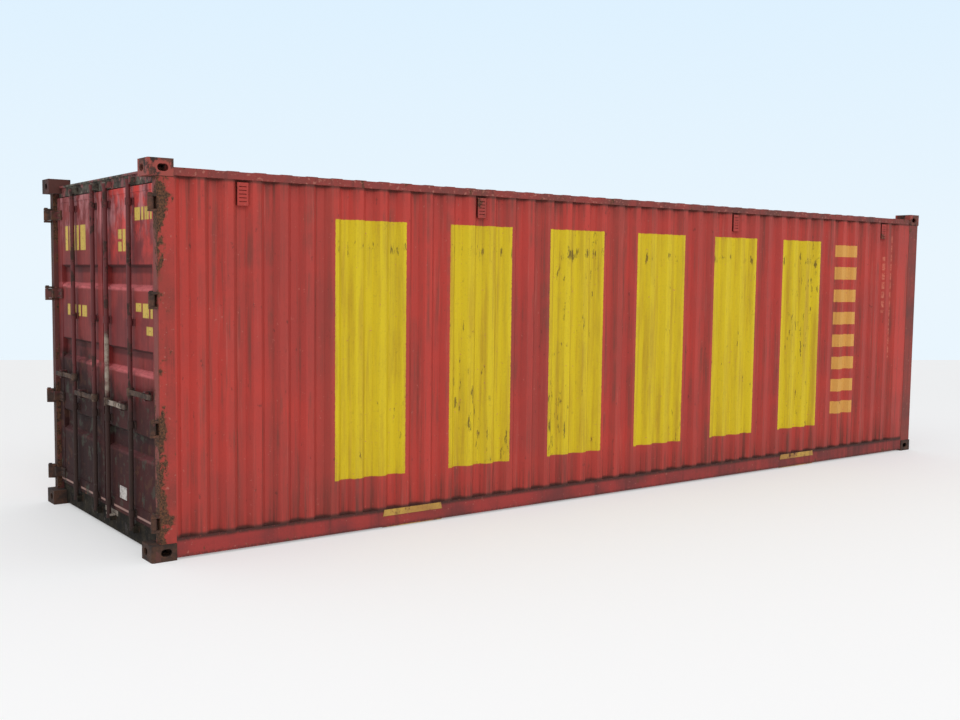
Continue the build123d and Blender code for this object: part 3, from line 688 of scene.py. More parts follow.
@dataclass(frozen=True)
class DoorPaint:
    """The doors' dull red paint: a painted pale highlight sheen above, painted shade and highlights at the
    ribs, and nearly black with dirt low down.
    """

    name: str = "door_paint"
    red: Colour = tint(146, 56, 52)
    faded: Colour = tint(118, 45, 45)
    bright: Colour = tint(224, 68, 60)
    shade: Colour = tint(66, 36, 36)
    inside: Colour = tint(116, 56, 50)
    ledge_highlight: Colour = tint(200, 104, 106)
    sheen: Colour = tint(196, 132, 134)
    dirt: Colour = tint(33, 24, 23)
    moss: Colour = tint(74, 76, 66)
    brown: Colour = tint(84, 56, 44)
    lip: Colour = tint(176, 140, 130)
    yellow: Colour = tint(206, 176, 84)
    rust: tuple[Colour, ...] = (tint(104, 62, 48), tint(56, 40, 36), tint(114, 76, 56))
    ribs: tuple[float, ...] = (0.740, 1.345, 1.950)
    rib_shade: Span = (0.022, 0.074)
    rib_rim: Span = (-0.104, -0.062)
    panel: Span = (0.197, 1.140)
    lip_rise: Span = (0.206, 0.222)
    fresh_rise: Span = (1.9, 2.3)
    fresh_across: Span = (0.1, -0.2)
    sheen_rise: Span = (2.15, 2.42)
    rust_rise: Span = (1.4, 0.5)
    dirty_below: float = 1.06

    def make(self) -> bpy.types.Material:
        """Builds the finish.

        Returns:
            The material.
        """
        coat = Coat(self.name, self.red, 0.62, 0.16)
        cloud = coat.noise(3.2, detail=7.0, roughness=0.62, shift=(9.0, 2.0, 5.0))
        patchy = coat.noise(5.5, (1.0, 1.6, 0.8), 6.0, 0.6, (3.0, 8.0, 4.0))
        fine = coat.noise(60.0, detail=5.0, roughness=0.7)
        runs = coat.noise(11.0, (1.0, 1.6, 0.07), 5.0, 0.66, (0.0, 4.0, 0.0))
        outside = coat.facing_x.step(-0.2, -0.6)
        coat.lay(cloud.step(0.36, 0.64), self.faded)
        fresh = coat.z.step(*self.fresh_rise) * coat.y.step(*self.fresh_across) * cloud.step(0.62, 0.40)
        coat.lay(fresh * 0.75, self.bright, 0.66)
        coat.lay(coat.y.step(-0.1, 0.6) * 0.20, self.shade)
        # Painted highlight: a pale sheen in patches high on the doors.
        coat.lay(coat.z.step(*self.sheen_rise) * patchy.step(0.44, 0.62) * 0.62, self.sheen)
        marks = union(row.mask(coat) for row in DOOR_BLOCKS)
        coat.lay(marks * outside * fine.step(0.68, 0.56), self.yellow, 0.65)
        coat.lay(runs.step(0.48, 0.78) * 0.55, self.shade, 0.72)
        coat.lay(fine.step(0.48, 0.80) * 0.30, self.shade)
        # Painted shade on faces that look down.
        coat.lay(coat.facing_z.step(-0.15, -0.5) * 0.80, self.shade, 0.75)
        # Painted highlight on faces that look up.
        coat.lay(coat.facing_z.step(0.15, 0.5) * fine.step(0.66, 0.40) * 0.85, self.ledge_highlight, 0.8)
        self.shade_beams(coat, outside)
        self.soil(coat, cloud)
        scuffs = patchy.step(0.46, 0.72) * 0.6
        coat.lay(coat.facing_x.step(0.2, 0.6) * 0.92, scuffs.blend(self.inside, self.shade), 0.7)
        coat.rust(coat.z.step(*self.rust_rise) * 0.035 - 0.01, 0.675, 9.0, 5.0, self.rust)
        coat.swell(coat.noise(3.0, detail=2.0), 0.008)
        return coat.close()

    def shade_beams(self, coat: Coat, outside: Signal) -> None:
        """Paints shade on the leaves under their ribs, and a pale highlight along the ribs' lower edges.

        Args:
            coat: The coat that it shows in.
            outside: 1 on faces that look out of the door end.
        """
        inset = PLAN.half_width - abs(coat.y)
        panel = inset.band(self.panel, 0.004) * 0.7 + 0.3
        # Painted shade on the leaves just under each rib, weaker on the flush frame.
        under = union((coat.z - z).band(self.rib_shade, 0.012) for z in self.ribs)
        coat.lay(under * outside * panel * 0.62, self.shade, 0.75)
        # Painted highlight along each rib's lower edge, broken up by a noise pattern.
        rims = union((coat.z - z).band(self.rib_rim, 0.010) for z in self.ribs)
        rubbed = coat.noise(30.0, (1.0, 0.30, 1.4), 6.0, 0.68, (5.0, 5.0, 2.0)).step(0.72, 0.42)
        coat.lay(rims * panel * rubbed * 0.95, self.ledge_highlight, 0.8)

    def soil(self, coat: Coat, cloud: Signal) -> None:
        """Blackens the leaves low down, with moss, brown blots and a pale lip at the foot.

        Args:
            coat: The coat that it shows in.
            cloud: A coarse pattern that makes the dirt's upper edge uneven.
        """
        edge = coat.z + (cloud - 0.5) * 1.1 + coat.y.step(-0.1, 0.9) * -0.26
        wet = edge.step(self.dirty_below + 0.24, self.dirty_below - 0.12)
        blot = coat.noise(8.0, detail=7.0, roughness=0.66, shift=(2.0, 7.0, 1.0))
        coat.lay(wet * (coat.y.step(-0.9, 0.3) * 0.10 + 0.80), self.dirt, 0.8)
        coat.lay(wet * blot.step(0.55, 0.63) * 0.66, self.moss, 0.85)
        coat.lay(wet * blot.step(0.44, 0.37) * 0.60, self.brown, 0.85)
        lip = coat.z.band(self.lip_rise, 0.003) * coat.facing_x.step(-0.4, -0.7) * blot.step(0.66, 0.56)
        coat.lay(lip * 0.8, self.lip, 0.6)


@dataclass(frozen=True)
class Rubber:
    """Old black rubber with dust on it."""

    name: str = "door_rubber"
    black: Colour = tint(34, 33, 34)
    dust: Colour = tint(92, 84, 78)

    def make(self) -> bpy.types.Material:
        """Builds the finish.

        Returns:
            The material.
        """
        coat = Coat(self.name, self.black, 0.72, 0.4)
        coat.lay(coat.noise(14.0, detail=5.0).step(0.45, 0.8) * 0.6, self.dust, 0.85)
        coat.swell(coat.noise(160.0, detail=3.0), 0.0006)
        return coat.close()


@dataclass(frozen=True)
class Plywood:
    """Worn sheets of plywood across the floor, with grain, joints and scuffs."""

    name: str = "floor_plywood"
    light: Colour = tint(136, 104, 70)
    dark: Colour = tint(92, 66, 44)
    scuff: Colour = tint(62, 52, 46)
    gap: Colour = tint(20, 16, 14)
    sheet: float = 1.22

    def make(self) -> bpy.types.Material:
        """Builds the finish.

        Returns:
            The material.
        """
        coat = Coat(self.name, self.dark, 0.58)
        grain = coat.noise(7.0, (1.0, 22.0, 22.0), 6.0, 0.65)
        coat.lay(grain.step(0.3, 0.7), self.light)
        coat.lay(coat.noise(3.0, (1.0, 2.0, 1.0), 7.0, 0.7).step(0.50, 0.68) * 0.6, self.scuff, 0.8)
        joints = coat.x.wrap(self.sheet).step(0.006, 0.003) | abs(coat.y).step(0.003, 0.0015)
        coat.lay(joints, self.gap, 0.9, -0.002)
        coat.swell(grain, 0.0008)
        return coat.close()


@dataclass(frozen=True)
class PalePlate:
    """A bare pale plate with scratches and dirt at its edges."""

    name: str = "pale_plate"
    pale: Colour = tint(196, 190, 184)
    dull: Colour = tint(140, 130, 124)
    dirt: Colour = tint(74, 62, 56)

    def make(self) -> bpy.types.Material:
        """Builds the finish.

        Returns:
            The material.
        """
        coat = Coat(self.name, self.pale, 0.42, 0.5)
        coat.lay(coat.noise(30.0, detail=6.0).step(0.42, 0.66), self.dull, 0.6)
        coat.lay(coat.noise(18.0, (1.0, 5.0, 1.0), 5.0, 0.7).step(0.58, 0.70) * 0.7, self.dirt, 0.8)
        coat.swell(coat.noise(120.0, detail=4.0), 0.0003)
        return coat.close()


def put(name: str, data: bpy.types.ID) -> bpy.types.Object:
    """Makes an object and puts it into the scene.

    Args:
        name: The object's name.
        data: Its mesh, camera or lamp.

    Returns:
        The object.
    """
    thing = bpy.data.objects.new(name, data)
    bpy.context.scene.collection.objects.link(thing)
    return thing


def bevel(thing: bpy.types.Object, width: float) -> bpy.types.Modifier:
    """Rounds an object's sharp edges.

    Args:
        thing: The object.
        width: Width of the bevels in metres.

    Returns:
        The modifier.
    """
    rounding = thing.modifiers.new("edges", "BEVEL")
    rounding.width = width
    rounding.segments = 2
    return rounding


def stand(direction: Vector) -> Matrix:
    """Turns +Z into a direction."""
    return Vector(UP).rotation_difference(direction).to_matrix().to_4x4()


def dress(names: Iterable[str], material: bpy.types.Material, edge: bpy.types.Material | None = None,
          width: float = 0.0) -> None:
    """Gives nodes of the model a finish, and bevels their sharp edges.

    Args:
        names: The nodes' names.
        material: The finish.
        edge: The finish of the bevels, or None for the same.
        width: Width of the bevels in metres, or 0 for none.
    """
    for name in names:
        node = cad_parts[name]
        node.data.materials.clear()
        node.data.materials.append(material)
        if width > 0.0:
            rounding = bevel(node, width)
            rounding.limit_method = "ANGLE"
            rounding.angle_limit = math.radians(40.0)
            rounding.harden_normals = True
            if edge is not None:
                node.data.materials.append(edge)
                rounding.material = 1
        LOG.info("dressed %s with %s", name, material.name)


# A bolt head's two parts, as shares of its height and radius: where each starts and ends, and how wide.
BOLT_PARTS = ((0.0, 0.65, 1.0, 0.96), (0.65, 1.0, 0.96, 0.66))


@dataclass
class Piece:
    """Collects simple shapes into one mesh, and stands it on a body of the model.

    Attributes:
        name: The piece's name.
        body: The body that it rides on.
        slot: The name of a material slot; not used.
        material: Its finish.
        mesh: The shapes so far.
    """

    name: str
    body: str
    slot: str
    material: bpy.types.Material
    mesh: bmesh.types.BMesh = field(default_factory=bmesh.new)

    def bolt(self, place: Triple, towards: Triple, radius: float, height: float, sides: int = 6) -> None:
        """Adds a bolt head or a rivet.

        Args:
            place: Middle of its foot.
            towards: The direction that it stands in.
            radius: Its radius.
            height: Its height.
            sides: Corners of its outline.
        """
        base = Matrix.Translation(Vector(place)) @ stand(Vector(towards))
        for low, high, wide, narrow in BOLT_PARTS:
            rise = Matrix.Translation((0.0, 0.0, height * (low + high) / 2))
            bmesh.ops.create_cone(self.mesh, cap_ends=True, segments=sides, radius1=radius * wide,
                                  radius2=radius * narrow, depth=height * (high - low), matrix=base @ rise)

    def bead(self, start: Triple, end: Triple, radius: float, seed: int) -> None:
        """Adds a weld bead: a run of uneven overlapping ridges.

        Args:
            start: Its one end.
            end: Its other end.
            radius: Its radius.
            seed: Seed of its unevenness.
        """
        shape = random.Random(seed)
        foot = Vector(start)
        run = Vector(end) - foot
        turn = stand(run.normalized())
        count = max(3, int(run.length / (radius * 1.8)))
        rings = []
        for step in range(count + 1):
            size = radius * (0.82 + 0.30 * shape.random()) * (1.0 if step % 2 else 0.74)
            middle = Matrix.Translation(foot + run * (step / count)) @ turn
            rings.append([self.mesh.verts.new(middle @ Vector((size * math.cos(a), size * math.sin(a), 0.0)))
                          for a in (k * math.pi / 3 for k in range(6))])
        self.skin(rings)

    def ribbon(self, line: Sequence[tuple[float, float]], across: Span, thickness: float) -> None:
        """Adds a bent flat bar that follows a line of (y, z) points.

        Args:
            line: Points of its lower face, in order of y.
            across: Where it starts and ends along X.
            thickness: Its thickness, upwards.
        """
        rings = []
        for x in across:
            lower = [self.mesh.verts.new((x, y, z)) for y, z in line]
            upper = [self.mesh.verts.new((x, y, z + thickness)) for y, z in line]
            rings.append(lower + upper[::-1])
        self.skin(rings)

    def skin(self, rings: Sequence[Sequence[bmesh.types.BMVert]]) -> None:
        """Joins rings of corners, one after another, into a closed tube.

        Args:
            rings: The rings, all of one count.
        """
        count = len(rings[0])
        for low, high in zip(rings, rings[1:]):
            for k in range(count):
                after = (k + 1) % count
                self.mesh.faces.new((low[k], low[after], high[after], high[k]))
        self.mesh.faces.new(tuple(reversed(rings[0])))
        self.mesh.faces.new(tuple(rings[-1]))

    def plate(self, low: Triple, high: Triple) -> None:
        """Adds a flat plate that fills a box.

        Args:
            low: One corner of the box.
            high: The corner opposite.
        """
        middle = Matrix.Translation((Vector(low) + Vector(high)) / 2)
        size = Vector(high) - Vector(low)
        bmesh.ops.create_cube(self.mesh, size=1.0, matrix=middle @ Matrix.Diagonal((*size, 1.0)))

    def finish(self, round_edges: float = 0.0) -> bpy.types.Object:
        """Turns the shapes into an object that rides on its body.

        Args:
            round_edges: Width of a bevel along its sharp edges, in metres, or 0 for none.

        Returns:
            The object.
        """
        bmesh.ops.recalc_face_normals(self.mesh, faces=self.mesh.faces)
        data = bpy.data.meshes.new(self.name)
        self.mesh.to_mesh(data)
        self.mesh.free()
        thing = put(self.name, data)
        data.materials.append(self.material)
        if round_edges > 0.0:
            bevel(thing, round_edges)
        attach(thing, self.body)
        LOG.info("built %s on %s, %d faces", self.name, self.body, len(data.polygons))
        return thing


@dataclass
class Studio:
    """The camera at the photograph's viewpoint, soft light and a plain pale floor."""

    place: Triple = (-7.169, -8.411, 1.986)
    yaw: float = 36.895
    pitch: float = -4.432
    roll: float = 0.707
    lens: float = 40.905
    sensor: float = 36.0
    sight: float = 500.0
    floor_reach: float = 200.0
    floor_aim: float = 0.4
    floor_rough: float = 0.9
    floor_gloss: float = 0.2
    sky_high: Colour = tint(222, 241, 255)
    sky_low: Colour = tint(234, 246, 254)
    floor_tone: Colour = (0.92, 0.92, 0.92)
    floor_far: float = 0.74
    floor_near: float = 1.0
    floor_own: float = 0.4
    floor_fade: Span = (6.0, 22.0)
    sky_rise: Span = (0.02, 0.24)
    cloud_tone: Colour = (0.97, 0.985, 1.0)
    cloud_light: float = 0.88
    sun_light: float = 0.85
    sun_spread: float = 40.0
    sun_direction: Triple = (0.15, 1.0, -0.75)

    def axes(self) -> tuple[Vector, Vector, Vector]:
        """Works out how the camera stands.

        Returns:
            Its right, up and forward directions.
        """
        yaw, pitch, roll = (math.radians(angle) for angle in (self.yaw, self.pitch, self.roll))
        forward = Vector((math.sin(yaw) * math.cos(pitch), math.cos(yaw) * math.cos(pitch), math.sin(pitch)))
        level = Vector((math.cos(yaw), -math.sin(yaw), 0.0))
        above = level.cross(forward)
        right = level * math.cos(roll) + above * math.sin(roll)
        return right, above * math.cos(roll) - level * math.sin(roll), forward

    def camera(self) -> None:
        """Sets the camera up."""
        right, up, forward = self.axes()
        turn = Matrix((right, up, -forward)).transposed()
        data = bpy.data.cameras.new("photograph_view")
        data.lens = self.lens
        data.sensor_width = self.sensor
        data.clip_end = self.sight
        view = put("photograph_view", data)
        view.matrix_world = Matrix.Translation(self.place) @ turn.to_4x4()
        bpy.context.scene.camera = view

    def light(self) -> None:
        """Sets up an overcast sky and a weak, broad sun over the camera's left shoulder."""
        world = bpy.data.worlds.new("overcast")
        world.use_nodes = True
        bpy.context.scene.world = world
        tree = world.node_tree
        tree.nodes.clear()
        output = tree.nodes.new("ShaderNodeOutputWorld")
        mix = tree.nodes.new("ShaderNodeMixShader")
        lit = tree.nodes.new("ShaderNodeBackground")
        seen = tree.nodes.new("ShaderNodeBackground")
        feed(lit.inputs["Color"], self.cloud_tone)
        feed(lit.inputs["Strength"], self.cloud_light)
        feed(seen.inputs["Strength"], 1.0)
        rise = tree.nodes.new("ShaderNodeSeparateXYZ")
        tree.links.new(tree.nodes.new("ShaderNodeTexCoord").outputs["Generated"], rise.inputs[0])
        share = tree.nodes.new("ShaderNodeMapRange")
        share.inputs["From Min"].default_value, share.inputs["From Max"].default_value = self.sky_rise
        tree.links.new(rise.outputs[2], share.inputs["Value"])
        feed(seen.inputs["Color"], Signal(tree, share.outputs["Result"]).blend(self.sky_low, self.sky_high))
        feed(mix.inputs[0], self.direct(tree))
        tree.links.new(lit.outputs[0], mix.inputs[1])
        tree.links.new(seen.outputs[0], mix.inputs[2])
        tree.links.new(mix.outputs[0], output.inputs["Surface"])
        sun = bpy.data.lights.new("soft_sun", "SUN")
        sun.energy = self.sun_light
        sun.angle = math.radians(self.sun_spread)
        lamp = put("soft_sun", sun)
        lamp.rotation_euler = Vector(self.sun_direction).to_track_quat("-Z", "Y").to_euler()

    def direct(self, tree: bpy.types.NodeTree) -> Signal:
        """Tells the rays that show the background from those that light the object.

        Args:
            tree: The nodes that use the signal.

        Returns:
            1 for rays of the camera, of gloss and of glass, and 0 for others.
        """
        path = tree.nodes.new("ShaderNodeLightPath")
        kinds = ("Is Camera Ray", "Is Glossy Ray", "Is Transmission Ray")
        return union(Signal(tree, path.outputs[kind]) for kind in kinds)

    def floor(self) -> None:
        """Lays the floor, whose far edge is level in the picture's middle."""
        right, _, forward = self.axes()
        ends = []
        for offset in (-self.floor_aim, self.floor_aim):
            ray = forward + right * offset
            ends.append(Vector(self.place) - ray * (self.place[2] / ray.z))
        along = (ends[1] - ends[0]).normalized()
        back = Vector((along.y, -along.x, 0.0))
        reach = self.floor_reach
        corners = [ends[0] - along * reach, ends[1] + along * reach]
        corners += [corners[1] + back * reach, corners[0] + back * reach]
        data = bpy.data.meshes.new("studio_floor")
        data.from_pydata([tuple(corner) for corner in corners], [], [(0, 1, 2, 3)])
        data.materials.append(self.floor_finish(ends[0], back))
        thing = put("studio_floor", data)

    def floor_finish(self, edge: Vector, back: Vector) -> bpy.types.Material:
        """Makes the floor's finish, a little paler towards the viewer.

        Args:
            edge: A point on the floor's far edge.
            back: The level direction from that edge towards the viewer.

        Returns:
            The material.
        """
        graph = Graph("pale_floor")
        feed(graph.shader.inputs["Base Color"], self.floor_tone)
        feed(graph.shader.inputs["Roughness"], self.floor_rough)
        feed(graph.shader.inputs["Specular IOR Level"], self.floor_gloss)
        away = graph.x * back.x + graph.y * back.y - edge.dot(back)
        near = away.step(*self.floor_fade) * (self.floor_near - self.floor_far)
        glow = graph.tree.nodes.new("ShaderNodeEmission")
        feed(glow.inputs["Strength"], near + self.floor_far)
        mix = graph.tree.nodes.new("ShaderNodeMixShader")
        feed(mix.inputs[0], self.direct(graph.tree) * self.floor_own)
        graph.tree.links.new(graph.shader.outputs["BSDF"], mix.inputs[1])
        graph.tree.links.new(glow.outputs[0], mix.inputs[2])
        graph.tree.links.new(mix.outputs[0], graph.output.inputs["Surface"])
        return graph.material


@dataclass
class SideWalls:
    """The two corrugated sides with their painted design, and the vents and the front wall."""

    def build(self) -> None:
        """Dresses both sides."""
        design = StripeDesign()
        for side in Side:
            dress([f"{side.value}_side_wall"], SidePaint(f"{side.value}_side_paint", design, side).make())
        dress(["front_wall"], SidePaint("front_wall_paint", rust_cut=0.69).make())
        dress(["side_vents"], FramePaint("vent_paint", rust_cut=0.60, top_rust=0.02).make())


@dataclass
class Structure:
    """Castings, posts, rails, header and sill, with the welds between them."""

    casting_round: float = 0.004
    rail_round: float = 0.003
    pad_round: float = 0.002
    small_round: float = 0.0015
    weld: float = 0.0038
    keeper_weld: float = 0.003
    post_face: float = 0.062
    post_side: float = 0.006
    post_inner: float = 0.086
    front_face: float = 0.008
    cheek_reach: float = 0.0472
    keeper_half: float = 0.025
    cam_heights: Span = (0.120, 2.625)

    def build(self) -> None:
        """Dresses the frame and adds its welds."""
        edge = BareSteel("worn_edge_steel", tint(112, 58, 48), paint_left=0.30).make()
        rails = FramePaint("bottom_rail_paint", red=tint(152, 52, 48), faded=tint(108, 47, 46),
                           line=0.143, line_grime_and_shade=0.9, far_grime=0.45).make()
        dress(["bottom_side_rails", "front_bottom_rail"], rails, edge, self.rail_round)
        upper_rails = FramePaint("top_rail_paint", red=tint(136, 54, 48), faded=tint(104, 56, 50),
                                 rust_cut=0.61, fleck_cut=0.60, far_grime=0.25).make()
        dress(["top_side_rails", "front_top_rail"], upper_rails, edge, self.rail_round)
        front = FramePaint("front_post_paint", red=tint(132, 52, 44), faded=tint(106, 50, 43),
                           top_rust=0.06).make()
        dress(["front_corner_posts"], front, edge, self.rail_round)
        rust = (tint(112, 62, 44), tint(46, 34, 28), tint(106, 70, 48))
        posts = FramePaint("post_paint", faded=tint(134, 52, 44), rust=rust, rust_cut=0.64, edge_rust=0.15,
                           top_rust=0.03, lug_rust=0.07, low_rust=0.038, left_grime=0.72).make()
        dress(["rear_corner_posts"], posts, edge, self.rail_round)
        lugs = BareSteel("lug_steel", tint(118, 56, 50), paint_left=0.35).make()
        dress(["hinge_lugs", "hinge_pins"], lugs, None, self.small_round)
        upper = BareSteel("upper_casting_steel", tint(146, 66, 57), paint_left=0.72,
                          bright=tint(124, 72, 60), left_dark=0.82).make()
        lower = BareSteel("lower_casting_steel", tint(84, 48, 40), paint_left=0.25,
                          bright=tint(84, 56, 42)).make()
        dress(["corner_castings_top"], upper, edge, self.casting_round)
        dress(["corner_castings_bottom"], lower, edge, self.casting_round)
        header = BareSteel("header_steel", tint(128, 68, 66), paint_left=0.62,
                           bright=tint(104, 100, 88), flecks=0.8).make()
        dress(["door_header", "header_keepers"], header, None, self.small_round)
        sill = BareSteel("sill_steel", tint(44, 35, 31), paint_left=0.45, dark=tint(28, 24, 21),
                         bright=tint(56, 49, 38), flecks=0.16, gloss=0.12,
                         patch=((-0.25, 0.04), (0.130, 0.170))).make()
        dress(["door_sill", "sill_keepers"], sill, None, self.small_round)
        pads = FramePaint("pad_paint", red=tint(186, 150, 70), faded=tint(150, 104, 58),
                          end_face_shade=tint(142, 108, 56), rust_cut=0.585).make()
        dress(["grapple_pads"], pads, edge, self.pad_round)
        under = BareSteel("underframe_steel", tint(52, 44, 42), paint_left=0.6).make()
        dress(["floor_cross_members"], under)
        self.welds(lower)

    def welds(self, finish: bpy.types.Material) -> None:
        """Adds the weld beads at the castings and at the keepers.

        Args:
            finish: The beads' finish.
        """
        piece = Piece("frame_welds", "container", "rusty_steel", finish)
        seeds = itertools.count(1)
        post = (self.post_face, self.post_side)
        front = (self.front_face, self.front_face)
        runs = [(End.DOOR, post, (PLAN.casting_length, self.post_side)),
                (End.DOOR, post, (self.post_face, self.post_inner)),
                (End.FRONT, front, (PLAN.casting_length, self.front_face)),
                (End.FRONT, front, (self.front_face, PLAN.casting_width))]
        for side in Side:
            for z in (PLAN.casting_height, PLAN.top - PLAN.casting_height):
                for end, start, stop in runs:
                    ends = [PLAN.corner(end, side, *place, z) for place in (start, stop)]
                    piece.bead(*ends, self.weld, next(seeds))
            for end in End:
                for rise in ((PLAN.rail_bottom[0], PLAN.casting_height), PLAN.rail_top):
                    ends = [PLAN.corner(end, side, PLAN.casting_length, PLAN.rail_face, z) for z in rise]
                    piece.bead(*ends, self.weld, next(seeds))
            for middle in self.cam_heights:
                for v in PLAN.bars:
                    for edge in (v - self.cheek_reach, v + self.cheek_reach):
                        ends = [PLAN.door(side, PLAN.beam_face, edge, z)
                                for z in (middle - self.keeper_half, middle + self.keeper_half)]
                        piece.bead(*ends, self.keeper_weld, next(seeds))
        piece.finish()


@dataclass
class Cargo:
    """The floor inside, with the screws that hold its boards."""

    deck: float = 0.172
    pitch: float = 0.300
    rows: int = 29
    screws: int = 12
    screw: tuple[float, float] = (0.007, 0.0016)
    reach: float = 1.08

    def build(self) -> None:
        """Dresses the floor and adds its screws."""
        dress(["floor_deck"], Plywood().make())
        steel = BareSteel("screw_steel", tint(120, 112, 104), paint_left=0.5).make()
        piece = Piece("floor_screws", "container", "rusty_steel", steel)
        for row in range(self.rows):
            x = (row - (self.rows - 1) / 2) * self.pitch
            for k in range(self.screws):
                y = self.reach * (2 * k / (self.screws - 1) - 1)
                piece.bolt((x, y, self.deck), UP, *self.screw)
        piece.finish()


@dataclass
class Roof:
    """The roof sheet and its round hatches, each with a strap, a hinge and a swing bolt."""

    hatches: tuple[float, ...] = (-3.6, -1.2, 1.2, 3.6)
    strap: tuple[tuple[float, float], ...] = (
        (-0.312, 2.7113), (-0.276, 2.7213), (-0.261, 2.7213), (-0.182, 2.7353),
        (0.182, 2.7353), (0.261, 2.7213), (0.276, 2.7213), (0.300, 2.7040))
    strap_half: float = 0.025
    strap_thickness: float = 0.004
    strap_gap: float = 0.0003
    hinge_y: float = 0.302
    hinge_z: float = 2.7035
    hinge_radius: float = 0.009
    hinge_over: float = 0.016
    ear: Triple = (0.008, 0.014, 2.716)
    ear_gap: float = 0.006
    bolt_y: float = -0.302
    bolt: tuple[float, float] = (0.006, 0.052)
    nut: tuple[float, float] = (0.013, 0.011)
    nut_z: float = 2.7165
    wing: Triple = (0.030, 0.005, 2.722)
    wing_top: float = 2.730
    foot: Triple = (0.030, 0.022, 2.691)
    hatch_round: float = 0.002
    gear_round: float = 0.001

    def build(self) -> None:
        """Dresses the roof and adds the hatches' gear."""
        sheet = FramePaint("roof_paint", red=tint(150, 58, 50), faded=tint(128, 58, 50),
                           rust_cut=0.60).make()
        edge = BareSteel("hatch_edge_steel", tint(120, 60, 52), paint_left=0.3).make()
        dress(["roof_panel", "roof_corner_plates"], sheet)
        dress(["roof_hatch_coamings", "roof_hatch_lids"], sheet, edge, self.hatch_round)
        gear = BareSteel("hatch_gear_steel", tint(116, 58, 50), paint_left=0.45).make()
        piece = Piece("hatch_gear", "container", "side_paint", gear)
        for x in self.hatches:
            self.add_hinge(piece, x)
            self.add_bolt(piece, x)
        piece.finish(self.gear_round)

    def add_hinge(self, piece: Piece, x: float) -> None:
        """Adds the strap across one hatch, and the pin and ears that it turns on.

        Args:
            piece: The piece that they join.
            x: The hatch's middle.
        """
        half = self.strap_half
        line = [(y, z + self.strap_gap) for y, z in self.strap]
        piece.ribbon(line, (x - half, x + half), self.strap_thickness)
        reach = half + self.hinge_over
        pin = (x - reach, self.hinge_y, self.hinge_z)
        piece.bolt(pin, FORWARD, self.hinge_radius, 2 * reach, 12)
        thick, deep, top = self.ear
        for start in (x - half - self.ear_gap - thick, x + half + self.ear_gap):
            piece.plate((start, self.hinge_y - deep, PLAN.roof), (start + thick, self.hinge_y + deep, top))

    def add_bolt(self, piece: Piece, x: float) -> None:
        """Adds one hatch's swing bolt: a stud with a wing nut, on a foot plate.

        Args:
            piece: The piece that they join.
            x: The hatch's middle.
        """
        y = self.bolt_y
        piece.bolt((x, y, PLAN.roof), UP, *self.bolt, 10)
        piece.bolt((x, y, self.nut_z), UP, *self.nut, 6)
        wide, deep, low = self.wing
        piece.plate((x - wide, y - deep, low), (x + wide, y + deep, self.wing_top))
        wide, deep, top = self.foot
        piece.plate((x - wide, y - deep, PLAN.roof), (x + wide, y + deep, top))


@dataclass(frozen=True)
class Fastener:
    """A pair of bolts, one above the other, through a plate that lies on a leaf."""

    under: float
    rise: float
    radius: float
    height: float


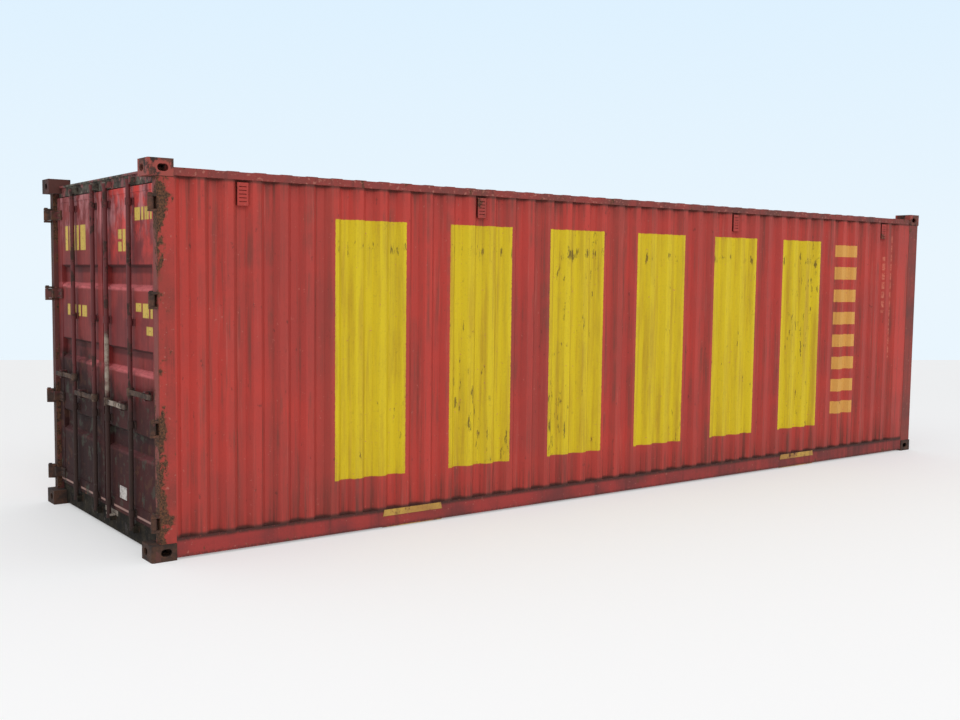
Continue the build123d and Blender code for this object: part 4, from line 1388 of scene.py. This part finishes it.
@dataclass
class Doors:
    """The two doors with their hinges, gaskets, locking gear, fasteners and one bare plate."""

    blade_bolts: tuple[float, ...] = (0.134, 0.164, 0.194)
    blade_bolt: Fastener = Fastener(0.012, 0.022, 0.0085, 0.006)
    guide_reach: float = 0.0315
    guide_bolt: Fastener = Fastener(0.006, 0.015, 0.0055, 0.004)
    catch_distance: float = 0.330
    catch_bolt: Fastener = Fastener(0.008, 0.013, 0.006, 0.004)
    plate_v: Span = (0.776, 0.926)
    plate_z: Span = (0.290, 0.385)
    plate_thickness: float = 0.0025
    rivet: tuple[float, float] = (0.003, 0.002)
    rivet_inset: float = 0.010
    leaf_round: float = 0.0015
    blade_round: float = 0.002
    gear_round: float = 0.001
    handle_round: float = 0.0015
    plate_round: float = 0.0008

    def build(self) -> None:
        """Dresses both doors and adds their fasteners."""
        leaf = DoorPaint().make()
        edge = BareSteel("leaf_edge_steel", tint(108, 54, 50), paint_left=0.45, low_dark=0.7).make()
        maroon = tint(98, 44, 44)
        stain = tint(82, 48, 43)
        gear = BareSteel("locking_steel", maroon, paint_left=0.92, bright=stain, low_dark=0.92).make()
        worn = BareSteel("worn_locking_steel", maroon, paint_left=0.92, bright=stain, low_dark=0.85,
                         fleck=tint(158, 146, 130), worn=(1.07, 1.50)).make()
        hinge = BareSteel("hinge_steel", tint(92, 48, 44), paint_left=0.55, low_dark=0.4).make()
        grip = BareSteel("grip_steel", tint(138, 122, 108), paint_left=0.45,
                         bright=tint(100, 76, 62)).make()
        pale_grip = BareSteel("pale_grip_steel", tint(146, 130, 117), paint_left=0.70,
                              bright=tint(108, 88, 75)).make()
        rubber = Rubber().make()
        for side in Side:
            name = side.value
            dress([f"{name}_door_frame", f"{name}_door_panel"], leaf, edge, self.leaf_round)
            dress([f"{name}_door_gasket"], rubber)
            dress([f"{name}_bar_guides", f"{name}_handle_catches"], gear, None, self.gear_round)
            dress([f"{name}_hinge_blades"], hinge, None, self.blade_round)
            for bar in ("inner", "outer"):
                rubbed = (side, bar) == (Side.RIGHT, "inner")
                dress([f"{name}_{bar}_lock_bar"], worn if rubbed else gear, None, self.gear_round)
                dress([f"{name}_{bar}_handle"], pale_grip if rubbed else grip, None, self.handle_round)
            self.fasteners(side, gear)
        self.bare_plate()

    def fasteners(self, side: Side, finish: bpy.types.Material) -> None:
        """Adds the bolts of one door's hinges, guides and catches.

        Args:
            side: The door's side.
            finish: The bolts' finish.
        """
        piece = Piece(f"{side.value}_door_fasteners", f"{side.value}_door", "rusty_steel", finish)
        blades = [(v, z) for z in PLAN.hinges for v in self.blade_bolts]
        guides = [(v + reach, z) for z in PLAN.guides for v in PLAN.bars
                  for reach in (-self.guide_reach, self.guide_reach)]
        catches = [(v - self.catch_distance, z) for v, z in zip(PLAN.bars, PLAN.handles)]
        for places, face, kind in ((blades, PLAN.leaf_face, self.blade_bolt),
                                   (guides, PLAN.leaf_face, self.guide_bolt),
                                   (catches, PLAN.pan_face, self.catch_bolt)):
            for v, z in places:
                for rise in (-kind.rise, kind.rise):
                    place = PLAN.door(side, face - kind.under, v, z + rise)
                    piece.bolt(place, OUT, kind.radius, kind.height)
        piece.finish()

    def bare_plate(self) -> None:
        """Adds the plain plate low on the right-hand door, with its four rivets."""
        piece = Piece("bare_plate", "right_door", "bar_steel", PalePlate().make())
        face = PLAN.pan_face - self.plate_thickness
        spans = ((face, PLAN.pan_face), self.plate_v, self.plate_z)
        piece.plate(*(PLAN.door(Side.RIGHT, *place) for place in zip(*spans)))
        for v in (self.plate_v[0] + self.rivet_inset, self.plate_v[1] - self.rivet_inset):
            for z in (self.plate_z[0] + self.rivet_inset, self.plate_z[1] - self.rivet_inset):
                piece.bolt(PLAN.door(Side.RIGHT, face, v, z), OUT, *self.rivet, 8)
        piece.finish(self.plate_round)


def main() -> None:
    """Builds the scene in order."""
    logging.basicConfig(level=logging.INFO, format="%(name)s: %(message)s")
    bpy.context.scene.view_settings.view_transform = "Standard"
    studio = Studio()
    studio.camera()
    studio.light()
    studio.floor()
    for part in (Structure(), SideWalls(), Cargo(), Roof(), Doors()):
        part.build()


if __name__ == "__main__":
    main()
